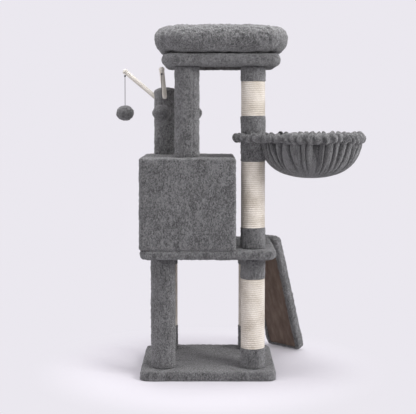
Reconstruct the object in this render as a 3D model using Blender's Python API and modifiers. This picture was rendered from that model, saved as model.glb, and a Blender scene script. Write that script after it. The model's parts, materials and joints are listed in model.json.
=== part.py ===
"""Cat tree: base, posts, condo, hammock, toys, perch and ramp. Metres, +Z up.

The origin is the centre of the base's underside. +X runs towards the hammock, and the
condo's closed back and the perch's two posts face -Y.
"""

import math

import bmesh
import bpy
from mathutils import Matrix, Vector

# Pieces that touch keep a hair's gap. A cutter runs PAST the face that it opens.
GAP = 0.0003
CLEARANCE = 0.0006
PAST = 0.02
FAR = 0.3
PLUSH = 0.004

# Floor base and middle platform share one outline.
BASE_SIZE = (0.400, 0.350)
BASE_HEIGHT = 0.028
BOARD_THICK = 0.016
CORNER = 0.025
PLATFORM_BOTTOM = 0.355
PLATFORM_TOP = 0.383
RAMP_CORNER_CUT = 0.060
PLATFORM_BORDER = 0.030
EDGE_ROUND = 0.010

# Posts: a core of cardboard tube with glued end plugs, and sisal or plush round it.
POST_X = 0.133
POST_Y = 0.111
TUBE_RADIUS = 0.0300
TUBE_WALL = 0.0045
SISAL_RADIUS = 0.0350
SLEEVE_RADIUS = 0.0365
POST_SIDES = 20
PLUG_LENGTH = 0.018
BOLT_SIDES = 10
BOLT_HOLE = 0.0046
STUD_RADIUS = 0.0040
STUD_HALF = 0.030

# Condo box on the platform, with its entrance on the +Y side.
CONDO_X = (-0.201, 0.081)
CONDO_Y = (-0.175, 0.155)
CONDO_TOP = 0.652
CONDO_CORNER = 0.010
CONDO_ROUND = 0.006
PANEL = 0.009
ENTRANCE_RADIUS = 0.088
ENTRANCE_HEIGHT = 0.510

# Perch and its bolster.
PERCH_X = (-0.135, 0.212)
PERCH_Y = (-0.175, 0.155)
PERCH_BOTTOM = 0.920
PERCH_TOP = 0.956
PERCH_CORNER = 0.040
PERCH_ROUND = 0.0165
PERCH_WRAP = 0.006
PERCH_BOARD_LIFT = 0.010
PERCH_BORDER = 0.035
PERCH_BORDER_AT_POSTS = 0.107
PERCH_OVERHANG = 0.026
BOLSTER_RADIUS = 0.042
BOLSTER_CORNER = 0.055
CUSHION_CORNER = 0.030
CUSHION_THICK = 0.024
CUSHION_CLEAR = 0.004
CUSHION_ROUND = 0.008
TALL_POST_X = -0.062
COLUMN_JOINT = 0.708
COLUMN_BANDS = (0.445, 0.640, 0.774, 0.875)

# Hammock: the wire runs round the column and round the bowl.
HAMMOCK_Z = 0.710
RING_CENTRE_X = 0.303
RING_RADIUS = 0.145
WIRE_RADIUS = 0.003
NECK_RADIUS = 0.012
CASING_RADIUS = 0.015
WIRE_SLACK = 0.001
NECK_SHARES = (0.012, 0.34, 0.67)
COLUMN_CLEAR = 0.002
BOWL_PROFILE = ((0.1490, 0.6940), (0.1400, 0.6600), (0.1200, 0.6300), (0.0950, 0.6100), (0.0600, 0.5970))
BOWL_BOTTOM = 0.590
BOWL_CLOTH = 0.004
BOWL_LIFT = 0.7

# Toy post, arms, strings and balls.
TOY_POST = (-0.134, 0.111)
TOY_POST_TOP = 0.864
TOY_CAP = 0.012
TOY_CAP_CURVE = ((0.0, 0.0), (0.020, 0.001), (0.031, 0.005), (SLEEVE_RADIUS, 0.013))
ARM_AZIMUTHS = (175.0, -93.0, 48.5)
ARM_SLOPE = math.radians(40.0)
ARM_ROOT_Z = 0.836
ARM_LENGTH = 0.129
ARM_RADIUS = 0.0075
ARM_TIP_CURVE = ((0.0, 0.0), (0.0045, 0.0006), (ARM_RADIUS, 0.0035))
ARM_BLOCK_LOW = 0.796
ROD_RADIUS = 0.0030
ROD_DEPTH = 0.028
ROD_STEP = 0.001
ARM_POCKET = 0.016
STRING_FROM_TIP = 0.006
BALL_CENTRE_Z = 0.783
BALL_RADIUS = 0.028
BALL_HALF_HEIGHT = 0.0245
STRING_RADIUS = 0.0010
STRING_STEP = 0.005
KNOT_RADIUS = 0.0030

# Ramp: stands off the platform's cut corner.
RAMP_WIDTH = 0.134
RAMP_LENGTH = 0.401
RAMP_THICK = 0.026
RAMP_LEAN = math.radians(18.0)
RAMP_FOOT = (0.2510, 0.2415)
RAMP_BORDER = 0.012
RAMP_CORNER = 0.012
RAMP_ROUND = 0.008
RAMP_WRAP = 0.006
RAMP_BOARD = (-0.0150, -0.0030)
BRACKET_LEVEL_LEG = 0.019
BRACKET_SLOPED_LEG = 0.036
BRACKET_WIDTH = 0.080
BRACKET_THICK = 0.002

COLOURS = {
    "plush": ((0.085, 0.087, 0.092), 0.95, 0.0),
    "sisal": ((0.70, 0.66, 0.57), 0.85, 0.0),
    "board": ((0.105, 0.070, 0.048), 0.75, 0.0),
    "cardboard": ((0.36, 0.25, 0.15), 0.85, 0.0),
    "steel": ((0.55, 0.55, 0.56), 0.35, 1.0),
    "rope": ((0.72, 0.68, 0.60), 0.85, 0.0),
    "string": ((0.055, 0.055, 0.060), 0.80, 0.0),
}


def clear_scene():
    for obj in list(bpy.data.objects):
        bpy.data.objects.remove(obj, do_unlink=True)


def new_collection(name):
    collection = bpy.data.collections.new(name)
    bpy.context.scene.collection.children.link(collection)
    return collection


def make_material(name, finish):
    colour, roughness, metallic = COLOURS[finish]
    material = bpy.data.materials.new(name + "_finish")
    material.use_nodes = True
    shader = material.node_tree.nodes["Principled BSDF"]
    shader.inputs["Base Color"].default_value = (*colour, 1.0)
    shader.inputs["Roughness"].default_value = roughness
    shader.inputs["Metallic"].default_value = metallic
    material.diffuse_color = (*colour, 1.0)
    return material


def add_object(name, data, finish):
    """Links a part, or with finish None a hidden cutter."""
    obj = bpy.data.objects.new(name, data)
    if finish is None:
        CUTTERS.objects.link(obj)
        obj.hide_render = True
        obj.display_type = "WIRE"
    else:
        PARTS.objects.link(obj)
        data.materials.append(make_material(name, finish))
    return obj


def shade_round(obj):
    obj.data.shade_smooth()
    obj.data.set_sharp_from_angle(angle=math.radians(50))


def mesh_from(obj):
    """Turns a curve or a modified mesh into a plain welded mesh object in world space."""
    bpy.context.view_layer.update()
    evaluated = obj.evaluated_get(bpy.context.evaluated_depsgraph_get())
    mesh = bpy.data.meshes.new_from_object(evaluated)
    work = bmesh.new()
    work.from_mesh(mesh)
    bmesh.ops.remove_doubles(work, verts=work.verts, dist=0.00001)
    bmesh.ops.recalc_face_normals(work, faces=work.faces)
    work.to_mesh(mesh)
    work.free()
    made = bpy.data.objects.new(obj.name, mesh)
    for collection in obj.users_collection:
        collection.objects.link(made)
    made.matrix_world = obj.matrix_world.copy()
    made.hide_render = obj.hide_render
    made.display_type = obj.display_type
    name = obj.name
    bpy.data.objects.remove(obj, do_unlink=True)
    made.name = name
    return made


def cut(obj, cutter):
    boolean = obj.modifiers.new("cut_" + cutter.name, "BOOLEAN")
    boolean.operation = "DIFFERENCE"
    boolean.object = cutter
    boolean.solver = "EXACT"


def round_edges(obj, width, segments=2):
    bevel = obj.modifiers.new("rounding", "BEVEL")
    bevel.width = width
    bevel.segments = segments
    bevel.limit_method = "ANGLE"
    bevel.angle_limit = math.radians(50)


def corner_points(centre, radius, start, steps=3):
    """Points of a quarter circle that turns left from the angle start."""
    angles = [start + math.radians(90) * step / steps for step in range(steps + 1)]
    return [(centre[0] + radius * math.cos(a), centre[1] + radius * math.sin(a)) for a in angles]


def rounded_outline(x_range, y_range, radius, corner_cut=0.0):
    """A rectangle with round corners, whose +X +Y corner may be cut at 45 degrees instead."""
    low_x, high_x = x_range
    low_y, high_y = y_range
    points = corner_points((low_x + radius, low_y + radius), radius, math.radians(180))
    points += corner_points((high_x - radius, low_y + radius), radius, math.radians(270))
    if corner_cut:
        points += [(high_x, high_y - corner_cut), (high_x - corner_cut, high_y)]
    else:
        points += corner_points((high_x - radius, high_y - radius), radius, 0.0)
    points += corner_points((low_x + radius, high_y - radius), radius, math.radians(90))
    return points


def slab(name, points, low, high, finish=None, rounding=0.0, segments=2):
    """A flat outline, drawn as a curve and given its thickness from low to high."""
    curve = bpy.data.curves.new(name, "CURVE")
    curve.dimensions = "2D"
    curve.fill_mode = "BOTH"
    curve.extrude = (high - low) / 2
    spline = curve.splines.new("POLY")
    spline.points.add(len(points) - 1)
    for point, (x, y) in zip(spline.points, points):
        point.co = (x, y, 0.0, 1.0)
    spline.use_cyclic_u = True
    obj = add_object(name, curve, finish)
    obj.location.z = (low + high) / 2
    obj = mesh_from(obj)
    if rounding:
        round_edges(obj, rounding, segments)
        obj = mesh_from(obj)
    shade_round(obj)
    return obj


def turned(name, profile, finish=None, sides=POST_SIDES, matrix=None, closed=False):
    """A profile of (radius, height) points turned round Z. It runs down the outer side."""
    mesh = bpy.data.meshes.new(name)
    count = len(profile)
    edges = [(i, i + 1) for i in range(count - 1)]
    if closed:
        edges.append((count - 1, 0))
    mesh.from_pydata([(r, 0.0, z) for r, z in profile], edges, [])
    obj = add_object(name, mesh, finish)
    screw = obj.modifiers.new("turn", "SCREW")
    screw.steps = sides
    screw.render_steps = sides
    screw.use_merge_vertices = True
    screw.merge_threshold = 0.00005
    if matrix is not None:
        obj.matrix_world = matrix
    return obj


def ring_profile(outer, inner, low, high):
    return [(outer, high), (outer, low), (inner, low), (inner, high)]


def rod_profile(radius, low, high):
    return [(0.0, high), (radius, high), (radius, low), (0.0, low)]


def join_cutters(name, cutters):
    """One hidden cutter that holds several separate solids."""
    work = bmesh.new()
    for cutter in cutters:
        bpy.context.view_layer.update()
        mesh = bpy.data.meshes.new_from_object(cutter.evaluated_get(bpy.context.evaluated_depsgraph_get()))
        mesh.transform(cutter.matrix_world)
        work.from_mesh(mesh)
        bpy.data.objects.remove(cutter, do_unlink=True)
    mesh = bpy.data.meshes.new(name)
    work.to_mesh(mesh)
    work.free()
    return add_object(name, mesh, None)


def hang_from(name, place, pieces):
    """An empty on a joint's axis, as the parent of the pieces that it moves."""
    pivot = bpy.data.objects.new(name, None)
    PARTS.objects.link(pivot)
    pivot.location = place
    for piece in pieces:
        piece.parent = pivot
        piece.matrix_parent_inverse = Matrix.Translation(-Vector(place))


def upright(x, y):
    return Matrix.Translation((x, y, 0.0))


def make_core(name, x, y, low, high):
    """A tube whose ends are filled by plugs, each with a hole along its axis for a bolt."""
    bore = TUBE_RADIUS - TUBE_WALL
    profile = [
        (TUBE_RADIUS, high),
        (TUBE_RADIUS, low),
        (BOLT_HOLE, low),
        (BOLT_HOLE, low + PLUG_LENGTH),
        (bore, low + PLUG_LENGTH),
        (bore, high - PLUG_LENGTH),
        (BOLT_HOLE, high - PLUG_LENGTH),
        (BOLT_HOLE, high),
    ]
    return turned(name, profile, "cardboard", matrix=upright(x, y), closed=True)


def make_sleeve(name, x, y, low, high, outer=SLEEVE_RADIUS, finish="plush"):
    profile = ring_profile(outer, TUBE_RADIUS + GAP, low, high)
    return turned(name, profile, finish, matrix=upright(x, y), closed=True)


def sweep(name, points, radius, finish, cyclic=False, hollow=0.0, resolution=2):
    """A round tube along points. With hollow, an open ended sleeve with that wall."""
    curve = bpy.data.curves.new(name, "CURVE")
    curve.dimensions = "3D"
    curve.bevel_depth = radius
    curve.bevel_resolution = resolution
    curve.use_fill_caps = not (cyclic or hollow)
    spline = curve.splines.new("POLY")
    spline.points.add(len(points) - 1)
    for point, place in zip(spline.points, points):
        point.co = (*place, 1.0)
    spline.use_cyclic_u = cyclic
    obj = add_object(name, curve, finish)
    if not hollow:
        return obj
    obj = mesh_from(obj)
    solidify = obj.modifiers.new("wall", "SOLIDIFY")
    solidify.thickness = hollow
    solidify.offset = -1.0
    solidify.use_even_offset = True
    return obj


def inset_range(limits, inset):
    return (limits[0] + inset, limits[1] - inset)


def panel_outline(inset=0.0, corner_cut=0.0):
    """The outline of the base and the platform, moved in by inset."""
    x_range = inset_range((-BASE_SIZE[0] / 2, BASE_SIZE[0] / 2), inset)
    y_range = inset_range((-BASE_SIZE[1] / 2, BASE_SIZE[1] / 2), inset)
    inner_cut = corner_cut - inset * (2 - math.sqrt(2)) if corner_cut else 0.0
    return rounded_outline(x_range, y_range, max(CORNER - inset, 0.004), inner_cut)


def make_base():
    board_top = BASE_HEIGHT - PLUSH - GAP
    slab("base_board", panel_outline(PLUSH + GAP), 0.0, board_top, "board")
    cover = slab("base_cover", panel_outline(), -PAST, BASE_HEIGHT, "plush", EDGE_ROUND, 3)
    cut(cover, box_slab("below_floor", (-FAR, FAR), (-FAR, FAR), -FAR, 0.0))
    cut(cover, slab("base_pocket", panel_outline(PLUSH), -2 * PAST, board_top + GAP))


def make_platform():
    board_low = PLATFORM_BOTTOM + PLUSH + GAP
    board_high = PLATFORM_TOP - PLUSH - GAP
    board_outline = panel_outline(PLUSH + GAP, RAMP_CORNER_CUT)
    board = slab("platform_board", board_outline, board_low, board_high, "board")
    outline = panel_outline(0.0, RAMP_CORNER_CUT)
    cover = slab("platform_cover", outline, PLATFORM_BOTTOM, PLATFORM_TOP, "plush", EDGE_ROUND, 3)
    pocket_outline = panel_outline(PLUSH, RAMP_CORNER_CUT)
    cut(cover, slab("platform_pocket", pocket_outline, board_low - GAP, board_high + GAP))
    window_outline = panel_outline(PLATFORM_BORDER, RAMP_CORNER_CUT)
    inside = (board_low + board_high) / 2
    cut(cover, slab("platform_window", window_outline, PLATFORM_BOTTOM - PAST, inside))
    hole = bolt_hole("stud_hole", POST_X, -POST_Y, PLATFORM_BOTTOM - PAST, PLATFORM_TOP + PAST)
    cut(board, hole)
    cut(cover, hole)


def bolt_hole(name, x, y, low, high):
    return turned(name, rod_profile(BOLT_HOLE, low, high), sides=BOLT_SIDES, matrix=upright(x, y))


def make_lower_posts():
    low = BASE_HEIGHT + GAP
    high = PLATFORM_BOTTOM - GAP
    places = {
        "front_left": (-POST_X, -POST_Y, None),
        "front_right": (POST_X, -POST_Y, (0.087, 0.293)),
        "rear_left": (-POST_X, POST_Y, (0.105, 0.302)),
        "rear_right": (POST_X, POST_Y, (0.105, 0.302)),
    }
    for name, (x, y, wrap) in places.items():
        make_core(name + "_post_core", x, y, low, high)
        if wrap is None:
            make_sleeve(name + "_post_cover", x, y, low, high)
            continue
        make_sleeve(name + "_post_sisal", x, y, wrap[0] + GAP, wrap[1] - GAP, SISAL_RADIUS, "sisal")
        make_sleeve(name + "_low_cuff", x, y, low, wrap[0])
        make_sleeve(name + "_high_cuff", x, y, wrap[1], high)


def make_column():
    x, y = POST_X, -POST_Y
    low = PLATFORM_TOP + GAP
    high = PERCH_BOTTOM - GAP
    bands = COLUMN_BANDS
    make_core("column_lower_core", x, y, low, COLUMN_JOINT - GAP / 2)
    make_core("column_upper_core", x, y, COLUMN_JOINT + GAP / 2, high)
    studs = {"platform_stud": (PLATFORM_BOTTOM + PLATFORM_TOP) / 2, "column_stud": COLUMN_JOINT}
    for name, middle in studs.items():
        profile = rod_profile(STUD_RADIUS, middle - STUD_HALF, middle + STUD_HALF)
        turned(name, profile, "steel", sides=BOLT_SIDES, matrix=upright(x, y))
    make_sleeve("column_bottom_cuff", x, y, low, bands[0])
    make_sleeve("column_lower_sisal", x, y, bands[0] + GAP, bands[1] - GAP, SISAL_RADIUS, "sisal")
    make_sleeve("column_middle_cuff", x, y, bands[1], bands[2])
    make_sleeve("column_upper_sisal", x, y, bands[2] + GAP, bands[3] - GAP, SISAL_RADIUS, "sisal")
    make_sleeve("column_top_cuff", x, y, bands[3], high)


def make_tall_post():
    low = CONDO_TOP + GAP
    high = PERCH_BOTTOM - GAP
    make_core("tall_post_core", TALL_POST_X, -POST_Y, low, high)
    make_sleeve("tall_post_cover", TALL_POST_X, -POST_Y, low, high)


def box_slab(name, x_range, y_range, low, high, finish=None):
    return slab(name, square_outline(x_range, y_range), low, high, finish)


def square_outline(x_range, y_range):
    return [
        (x_range[0], y_range[0]),
        (x_range[1], y_range[0]),
        (x_range[1], y_range[1]),
        (x_range[0], y_range[1]),
    ]


def make_condo():
    low = PLATFORM_TOP + GAP
    out = PLUSH + GAP
    x0, x1 = CONDO_X[0] + out, CONDO_X[1] - out
    y0, y1 = CONDO_Y[0] + out, CONDO_Y[1] - out
    roof_high = CONDO_TOP - out
    roof_low = roof_high - PANEL
    wall_high = roof_low - GAP
    box_slab("condo_roof_panel", (x0, x1), (y0, y1), roof_low, roof_high, "board")
    box_slab("condo_back_panel", (x0, x1), (y0, y0 + PANEL), low, wall_high, "board")
    front = box_slab("condo_front_panel", (x0, x1), (y1 - PANEL, y1), low, wall_high, "board")
    side_y = (y0 + PANEL + GAP, y1 - PANEL - GAP)
    box_slab("condo_left_panel", (x0, x0 + PANEL), side_y, low, wall_high, "board")
    box_slab("condo_right_panel", (x1 - PANEL, x1), side_y, low, wall_high, "board")

    outline = rounded_outline(CONDO_X, CONDO_Y, CONDO_CORNER)
    cover = slab("condo_cover", outline, low - PAST, CONDO_TOP, "plush", CONDO_ROUND)
    inside = box_slab(
        "condo_inside",
        inset_range(CONDO_X, PLUSH),
        inset_range(CONDO_Y, PLUSH),
        low - 2 * PAST,
        CONDO_TOP - PLUSH,
    )
    below = box_slab("condo_below", (-FAR, FAR), (-FAR, FAR), low - FAR, low)
    cut(cover, below)
    cut(cover, inside)

    mid_x = (CONDO_X[0] + CONDO_X[1]) / 2
    along_y = Matrix.Rotation(math.radians(90), 4, "X")
    place = Matrix.Translation((mid_x, CONDO_Y[1], ENTRANCE_HEIGHT)) @ along_y
    hole = turned("entrance_hole", rod_profile(ENTRANCE_RADIUS, -PAST, PAST), sides=32, matrix=place)
    cut(front, hole)
    cut(cover, hole)


def make_perch():
    outline = rounded_outline(PERCH_X, PERCH_Y, PERCH_CORNER)
    x_board = inset_range(PERCH_X, PERCH_WRAP)
    y_board = inset_range(PERCH_Y, PERCH_WRAP)
    board_corner = PERCH_CORNER - PERCH_WRAP
    board_low = PERCH_BOTTOM + PERCH_BOARD_LIFT
    board_high = board_low + BOARD_THICK
    slab("perch_board", rounded_outline(x_board, y_board, board_corner), board_low, board_high, "board")
    cover = slab("perch_cover", outline, PERCH_BOTTOM, PERCH_TOP - GAP, "plush", PERCH_ROUND, 4)
    cut(cover, slab("perch_pocket", grow(x_board, y_board, board_corner), board_low - GAP, board_high + GAP))
    x_window = inset_range(PERCH_X, PERCH_BORDER)
    y_window = (PERCH_Y[0] + PERCH_BORDER_AT_POSTS, PERCH_Y[1] - PERCH_BORDER)
    inside = (board_low + board_high) / 2
    cut(cover, box_slab("perch_window", x_window, y_window, PERCH_BOTTOM - PAST, inside))

    inset = BOLSTER_RADIUS - PERCH_OVERHANG
    path = rounded_outline(inset_range(PERCH_X, inset), inset_range(PERCH_Y, inset), BOLSTER_CORNER)
    centre_z = PERCH_TOP + BOLSTER_RADIUS + GAP
    points = [(x, y, centre_z) for x, y in densify(path)]
    sweep("perch_bolster", points, BOLSTER_RADIUS, "plush", cyclic=True)

    clear = BOLSTER_RADIUS * 2 - PERCH_OVERHANG + CUSHION_CLEAR
    nest = rounded_outline(inset_range(PERCH_X, clear), inset_range(PERCH_Y, clear), CUSHION_CORNER)
    slab("perch_cushion", nest, PERCH_TOP + GAP, PERCH_TOP + CUSHION_THICK, "plush", rounding=CUSHION_ROUND)


def grow(x_range, y_range, corner):
    """The outline of a pocket round a board of these ranges."""
    return rounded_outline(inset_range(x_range, -GAP), inset_range(y_range, -GAP), corner + GAP)


def densify(points, longest=0.06):
    """Adds points on a closed path's long straight runs."""
    made = []
    for start, end in zip(points, points[1:] + points[:1]):
        run = (Vector(end) - Vector(start)).length
        pieces = max(1, math.ceil(run / longest))
        for piece in range(pieces):
            made.append(tuple(Vector(start).lerp(Vector(end), piece / pieces)))
    return made


def arc(centre, radius, start, end, steps):
    angles = [start + (end - start) * step / steps for step in range(steps + 1)]
    return [(centre[0] + radius * math.cos(a), centre[1] + radius * math.sin(a), HAMMOCK_Z) for a in angles]


def hammock_paths():
    """The wire's pear shape: (arc round the bowl, neck round the column)."""
    column = (POST_X, -POST_Y)
    bowl = (RING_CENTRE_X, -POST_Y)
    neck_radius = SLEEVE_RADIUS + NECK_RADIUS + CLEARANCE
    apart = RING_CENTRE_X - POST_X
    tangent = math.radians(90) + math.asin((RING_RADIUS - neck_radius) / apart)
    ring = arc(bowl, RING_RADIUS, -tangent, tangent, 30)
    back = arc(column, neck_radius, tangent, 2 * math.pi - tangent, 8)
    sides = [tuple(Vector(ring[-1]).lerp(Vector(back[0]), share)) for share in NECK_SHARES]
    returns = [tuple(Vector(ring[0]).lerp(Vector(back[-1]), share)) for share in reversed(NECK_SHARES)]
    return ring, sides + back + returns


def sleeve_wall(radius):
    """An eight-sided sleeve's wall, leaving some slack round the wire."""
    flat = radius * math.cos(math.radians(22.5))
    return flat - WIRE_RADIUS - WIRE_SLACK


def make_hammock():
    ring, neck = hammock_paths()
    wire = sweep("hammock_wire", ring + neck[1:-1], WIRE_RADIUS, "steel", cyclic=True, resolution=1)
    sleeve = sweep("hammock_neck_sleeve", neck, NECK_RADIUS, "plush", hollow=sleeve_wall(NECK_RADIUS))
    casing = sweep("hammock_rim_casing", ring, CASING_RADIUS, "plush", hollow=sleeve_wall(CASING_RADIUS))

    rim_radius, rim_height = BOWL_PROFILE[0]
    outside = [*BOWL_PROFILE, (0.0, BOWL_BOTTOM)]
    inside = [(rim_radius - BOWL_CLOTH, rim_height)]
    inside += [(r - BOWL_CLOTH, z + BOWL_CLOTH * BOWL_LIFT) for r, z in BOWL_PROFILE[1:]]
    inside += [(0.0, BOWL_BOTTOM + BOWL_CLOTH)]
    place = upright(RING_CENTRE_X, -POST_Y)
    bowl = turned("hammock_bowl", outside + inside[::-1], "plush", sides=28, matrix=place, closed=True)
    notch = rod_profile(SLEEVE_RADIUS + COLUMN_CLEAR, BOWL_BOTTOM - PAST, HAMMOCK_Z + PAST)
    cut(bowl, turned("column_notch", notch, sides=24, matrix=upright(POST_X, -POST_Y)))
    hang_from("hammock_swivel", (POST_X, -POST_Y, HAMMOCK_Z), (wire, sleeve, casing, bowl))


def arm_frame(azimuth):
    """Z runs out along the arm from where its axis leaves the toy post's plush."""
    turn = Matrix.Rotation(math.radians(azimuth), 4, "Z")
    lean = Matrix.Rotation(math.radians(90) - ARM_SLOPE, 4, "Y")
    start = turn @ Vector((SLEEVE_RADIUS, 0.0, 0.0))
    return Matrix.Translation((TOY_POST[0] + start.x, TOY_POST[1] + start.y, ARM_ROOT_Z)) @ turn @ lean


def arm_tip(azimuth):
    """The point of the arm's axis that the string hangs from."""
    return arm_frame(azimuth) @ Vector((0.0, 0.0, ARM_LENGTH - STRING_FROM_TIP))


def make_toys():
    low = CONDO_TOP + GAP
    tube_high = TOY_POST_TOP - TOY_CAP
    place = upright(*TOY_POST)
    bore = TUBE_RADIUS - TUBE_WALL
    core_profile = [
        (0.0, tube_high),
        (TUBE_RADIUS, tube_high),
        (TUBE_RADIUS, low),
        (BOLT_HOLE, low),
        (BOLT_HOLE, low + PLUG_LENGTH),
        (bore, low + PLUG_LENGTH),
        (bore, ARM_BLOCK_LOW),
        (0.0, ARM_BLOCK_LOW),
    ]
    core = turned("toy_post_core", core_profile, "cardboard", matrix=place)
    inner = TUBE_RADIUS + GAP
    cover_profile = [(radius, TOY_POST_TOP - drop) for radius, drop in TOY_CAP_CURVE]
    cover_profile += [(SLEEVE_RADIUS, low), (inner, low), (inner, tube_high + GAP), (0.0, tube_high + GAP)]
    cover = turned("toy_post_cover", cover_profile, "plush", matrix=place)

    arm_profile = [(radius, ARM_LENGTH - drop) for radius, drop in ARM_TIP_CURVE]
    arm_profile += [(ARM_RADIUS, -ROD_STEP), (ROD_RADIUS, -ROD_STEP), (ROD_RADIUS, -ROD_DEPTH), (0.0, -ROD_DEPTH)]
    socket_profile = rod_profile(ROD_RADIUS + CLEARANCE, -ROD_DEPTH - ROD_STEP, ARM_RADIUS)
    pocket_profile = rod_profile(ARM_RADIUS + CLEARANCE, -ARM_POCKET, SLEEVE_RADIUS)
    sockets = []
    pockets = []
    for number, azimuth in enumerate(ARM_AZIMUTHS, 1):
        frame = arm_frame(azimuth)
        turned(f"toy_arm_{number}", arm_profile, "rope", sides=12, matrix=frame)
        sockets.append(turned("socket", socket_profile, sides=10, matrix=frame))
        pockets.append(turned("pocket", pocket_profile, sides=12, matrix=frame))
        make_toy(number, arm_tip(azimuth))
    cut(core, join_cutters("arm_sockets", sockets))
    cut(cover, join_cutters("arm_pockets", pockets))


def make_toy(number, tip):
    """A knot under the arm, the string below it and the ball on the string."""
    pivot_z = tip.z - (ARM_RADIUS + KNOT_RADIUS + 2 * GAP) / math.cos(ARM_SLOPE)
    place = upright(tip.x, tip.y)
    knot = ellipse_profile(KNOT_RADIUS, KNOT_RADIUS, pivot_z, 4)
    knot = turned(f"toy_knot_{number}", knot, "string", sides=8, matrix=place)
    top = pivot_z - KNOT_RADIUS - GAP
    bottom = BALL_CENTRE_Z + BALL_HALF_HEIGHT + GAP
    steps = round((top - bottom) / STRING_STEP)
    points = [(tip.x, tip.y, top + (bottom - top) * step / steps) for step in range(steps + 1)]
    string = sweep(f"toy_string_{number}", points, STRING_RADIUS, "string")
    ball_profile = ellipse_profile(BALL_RADIUS, BALL_HALF_HEIGHT, BALL_CENTRE_Z, 8)
    ball = turned(f"toy_ball_{number}", ball_profile, "plush", sides=14, matrix=place)
    hang_from(f"toy_pivot_{number}", (tip.x, tip.y, pivot_z), (knot, string, ball))


def ellipse_profile(radius, half_height, centre_z, steps):
    """Half an ellipse from its top down its outer side, its ends exactly on the axis."""
    points = []
    for step in range(steps + 1):
        angle = math.pi * step / steps
        reach = 0.0 if step in (0, steps) else radius * math.sin(angle)
        points.append((reach, centre_z + half_height * math.cos(angle)))
    return points


def make_ramp():
    """Built flat in its own frame: X across, Y up its slope, Z out of its bare back."""
    frame = bpy.data.objects.new("ramp_frame", None)
    PARTS.objects.link(frame)
    out = Vector((1.0, 1.0, 0.0)).normalized()
    up = Vector((0.0, 0.0, math.cos(RAMP_LEAN))) - out * math.sin(RAMP_LEAN)
    back = -(out * math.cos(RAMP_LEAN) + Vector((0.0, 0.0, math.sin(RAMP_LEAN))))
    across = up.cross(back)
    rotation = Matrix((across, up, back)).transposed().to_4x4()
    frame.matrix_world = Matrix.Translation((*RAMP_FOOT, 0.0)) @ rotation
    x_range = (-RAMP_WIDTH / 2, RAMP_WIDTH / 2)
    y_range = (0.0, RAMP_LENGTH)
    outline = rounded_outline(x_range, y_range, RAMP_CORNER)
    x_board = inset_range(x_range, RAMP_WRAP)
    y_board = inset_range(y_range, RAMP_WRAP)
    board_corner = RAMP_CORNER - RAMP_WRAP
    board_low, board_high = RAMP_BOARD
    board = slab("ramp_board", rounded_outline(x_board, y_board, board_corner), board_low, board_high, "board")
    cover = slab("ramp_cover", outline, -RAMP_THICK, 0.0, "plush", RAMP_ROUND, 3)
    pocket = slab("ramp_pocket", grow(x_board, y_board, board_corner), board_low - GAP, board_high + GAP)
    window_outline = rounded_outline(
        inset_range(x_range, RAMP_BORDER), inset_range(y_range, RAMP_BORDER), board_corner
    )
    window = slab("ramp_window", window_outline, (board_low + board_high) / 2, PAST)
    cut(cover, pocket)
    cut(cover, window)
    for obj in (board, cover, pocket, window):
        matrix = frame.matrix_world @ obj.matrix_world
        obj.parent = frame
        obj.matrix_world = matrix
    make_bracket(frame.matrix_world.copy(), board_high)


def back_point(frame, across, level, off_back):
    """The point at a world height that lies off the ramp's back by off_back."""
    up_rise = frame.col[1].z
    back_rise = frame.col[2].z
    along = (level - off_back * back_rise) / up_rise
    return frame @ Vector((across, along, off_back))


def make_bracket(frame, board_back):
    """A bent plate: one leg lies under the platform, the other on the ramp's bare back."""
    inward = -Vector((1.0, 1.0, 0.0)).normalized() * BRACKET_LEVEL_LEG
    level = PLATFORM_BOTTOM - GAP
    corner = back_point(frame, 0.0, level, board_back + GAP)
    inner = back_point(frame, 0.0, level - BRACKET_THICK, board_back + GAP + BRACKET_THICK)
    down = frame.col[1].to_3d() * -BRACKET_SLOPED_LEG
    off = frame.col[2].to_3d() * BRACKET_THICK
    drop = Vector((0.0, 0.0, -BRACKET_THICK))
    section = [corner, corner + inward, corner + inward + drop, inner, corner + down + off, corner + down]
    extruded("ramp_bracket", section, frame.col[0].to_3d() * BRACKET_WIDTH, "steel")


def extruded(name, section, width, finish):
    """A flat section in space, swept by the vector width about its middle."""
    work = bmesh.new()
    face = work.faces.new([work.verts.new(point - width / 2) for point in section])
    made = bmesh.ops.extrude_face_region(work, geom=[face])
    moved = [item for item in made["geom"] if isinstance(item, bmesh.types.BMVert)]
    bmesh.ops.translate(work, verts=moved, vec=width)
    bmesh.ops.recalc_face_normals(work, faces=work.faces)
    mesh = bpy.data.meshes.new(name)
    work.to_mesh(mesh)
    work.free()
    return add_object(name, mesh, finish)


clear_scene()
PARTS = new_collection("cat_tree")
CUTTERS = new_collection("cutters")
CUTTERS.hide_render = True
make_base()
make_platform()
make_lower_posts()
make_column()
make_tall_post()
make_condo()
make_perch()
make_hammock()
make_toys()
make_ramp()
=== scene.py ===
# %% [markdown]
# # A cat tree in plush and sisal
# This tree has a plush-covered base, posts in plush and sisal, a box to hide in, a hammock
# on a wire, three balls on strings, a perch with a bolster and a ramp. The solid model
# gives its sizes and its joints. This lesson dresses it: the fabric, the rope, the padding.
# Nearly everything soft is made the same way: read a part's box from the solid model,
# build a cleaner and denser form in that space, then add the material.

import json
import math

import bmesh
import bpy
import numpy as np
from mathutils import Matrix, Vector, noise


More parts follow.
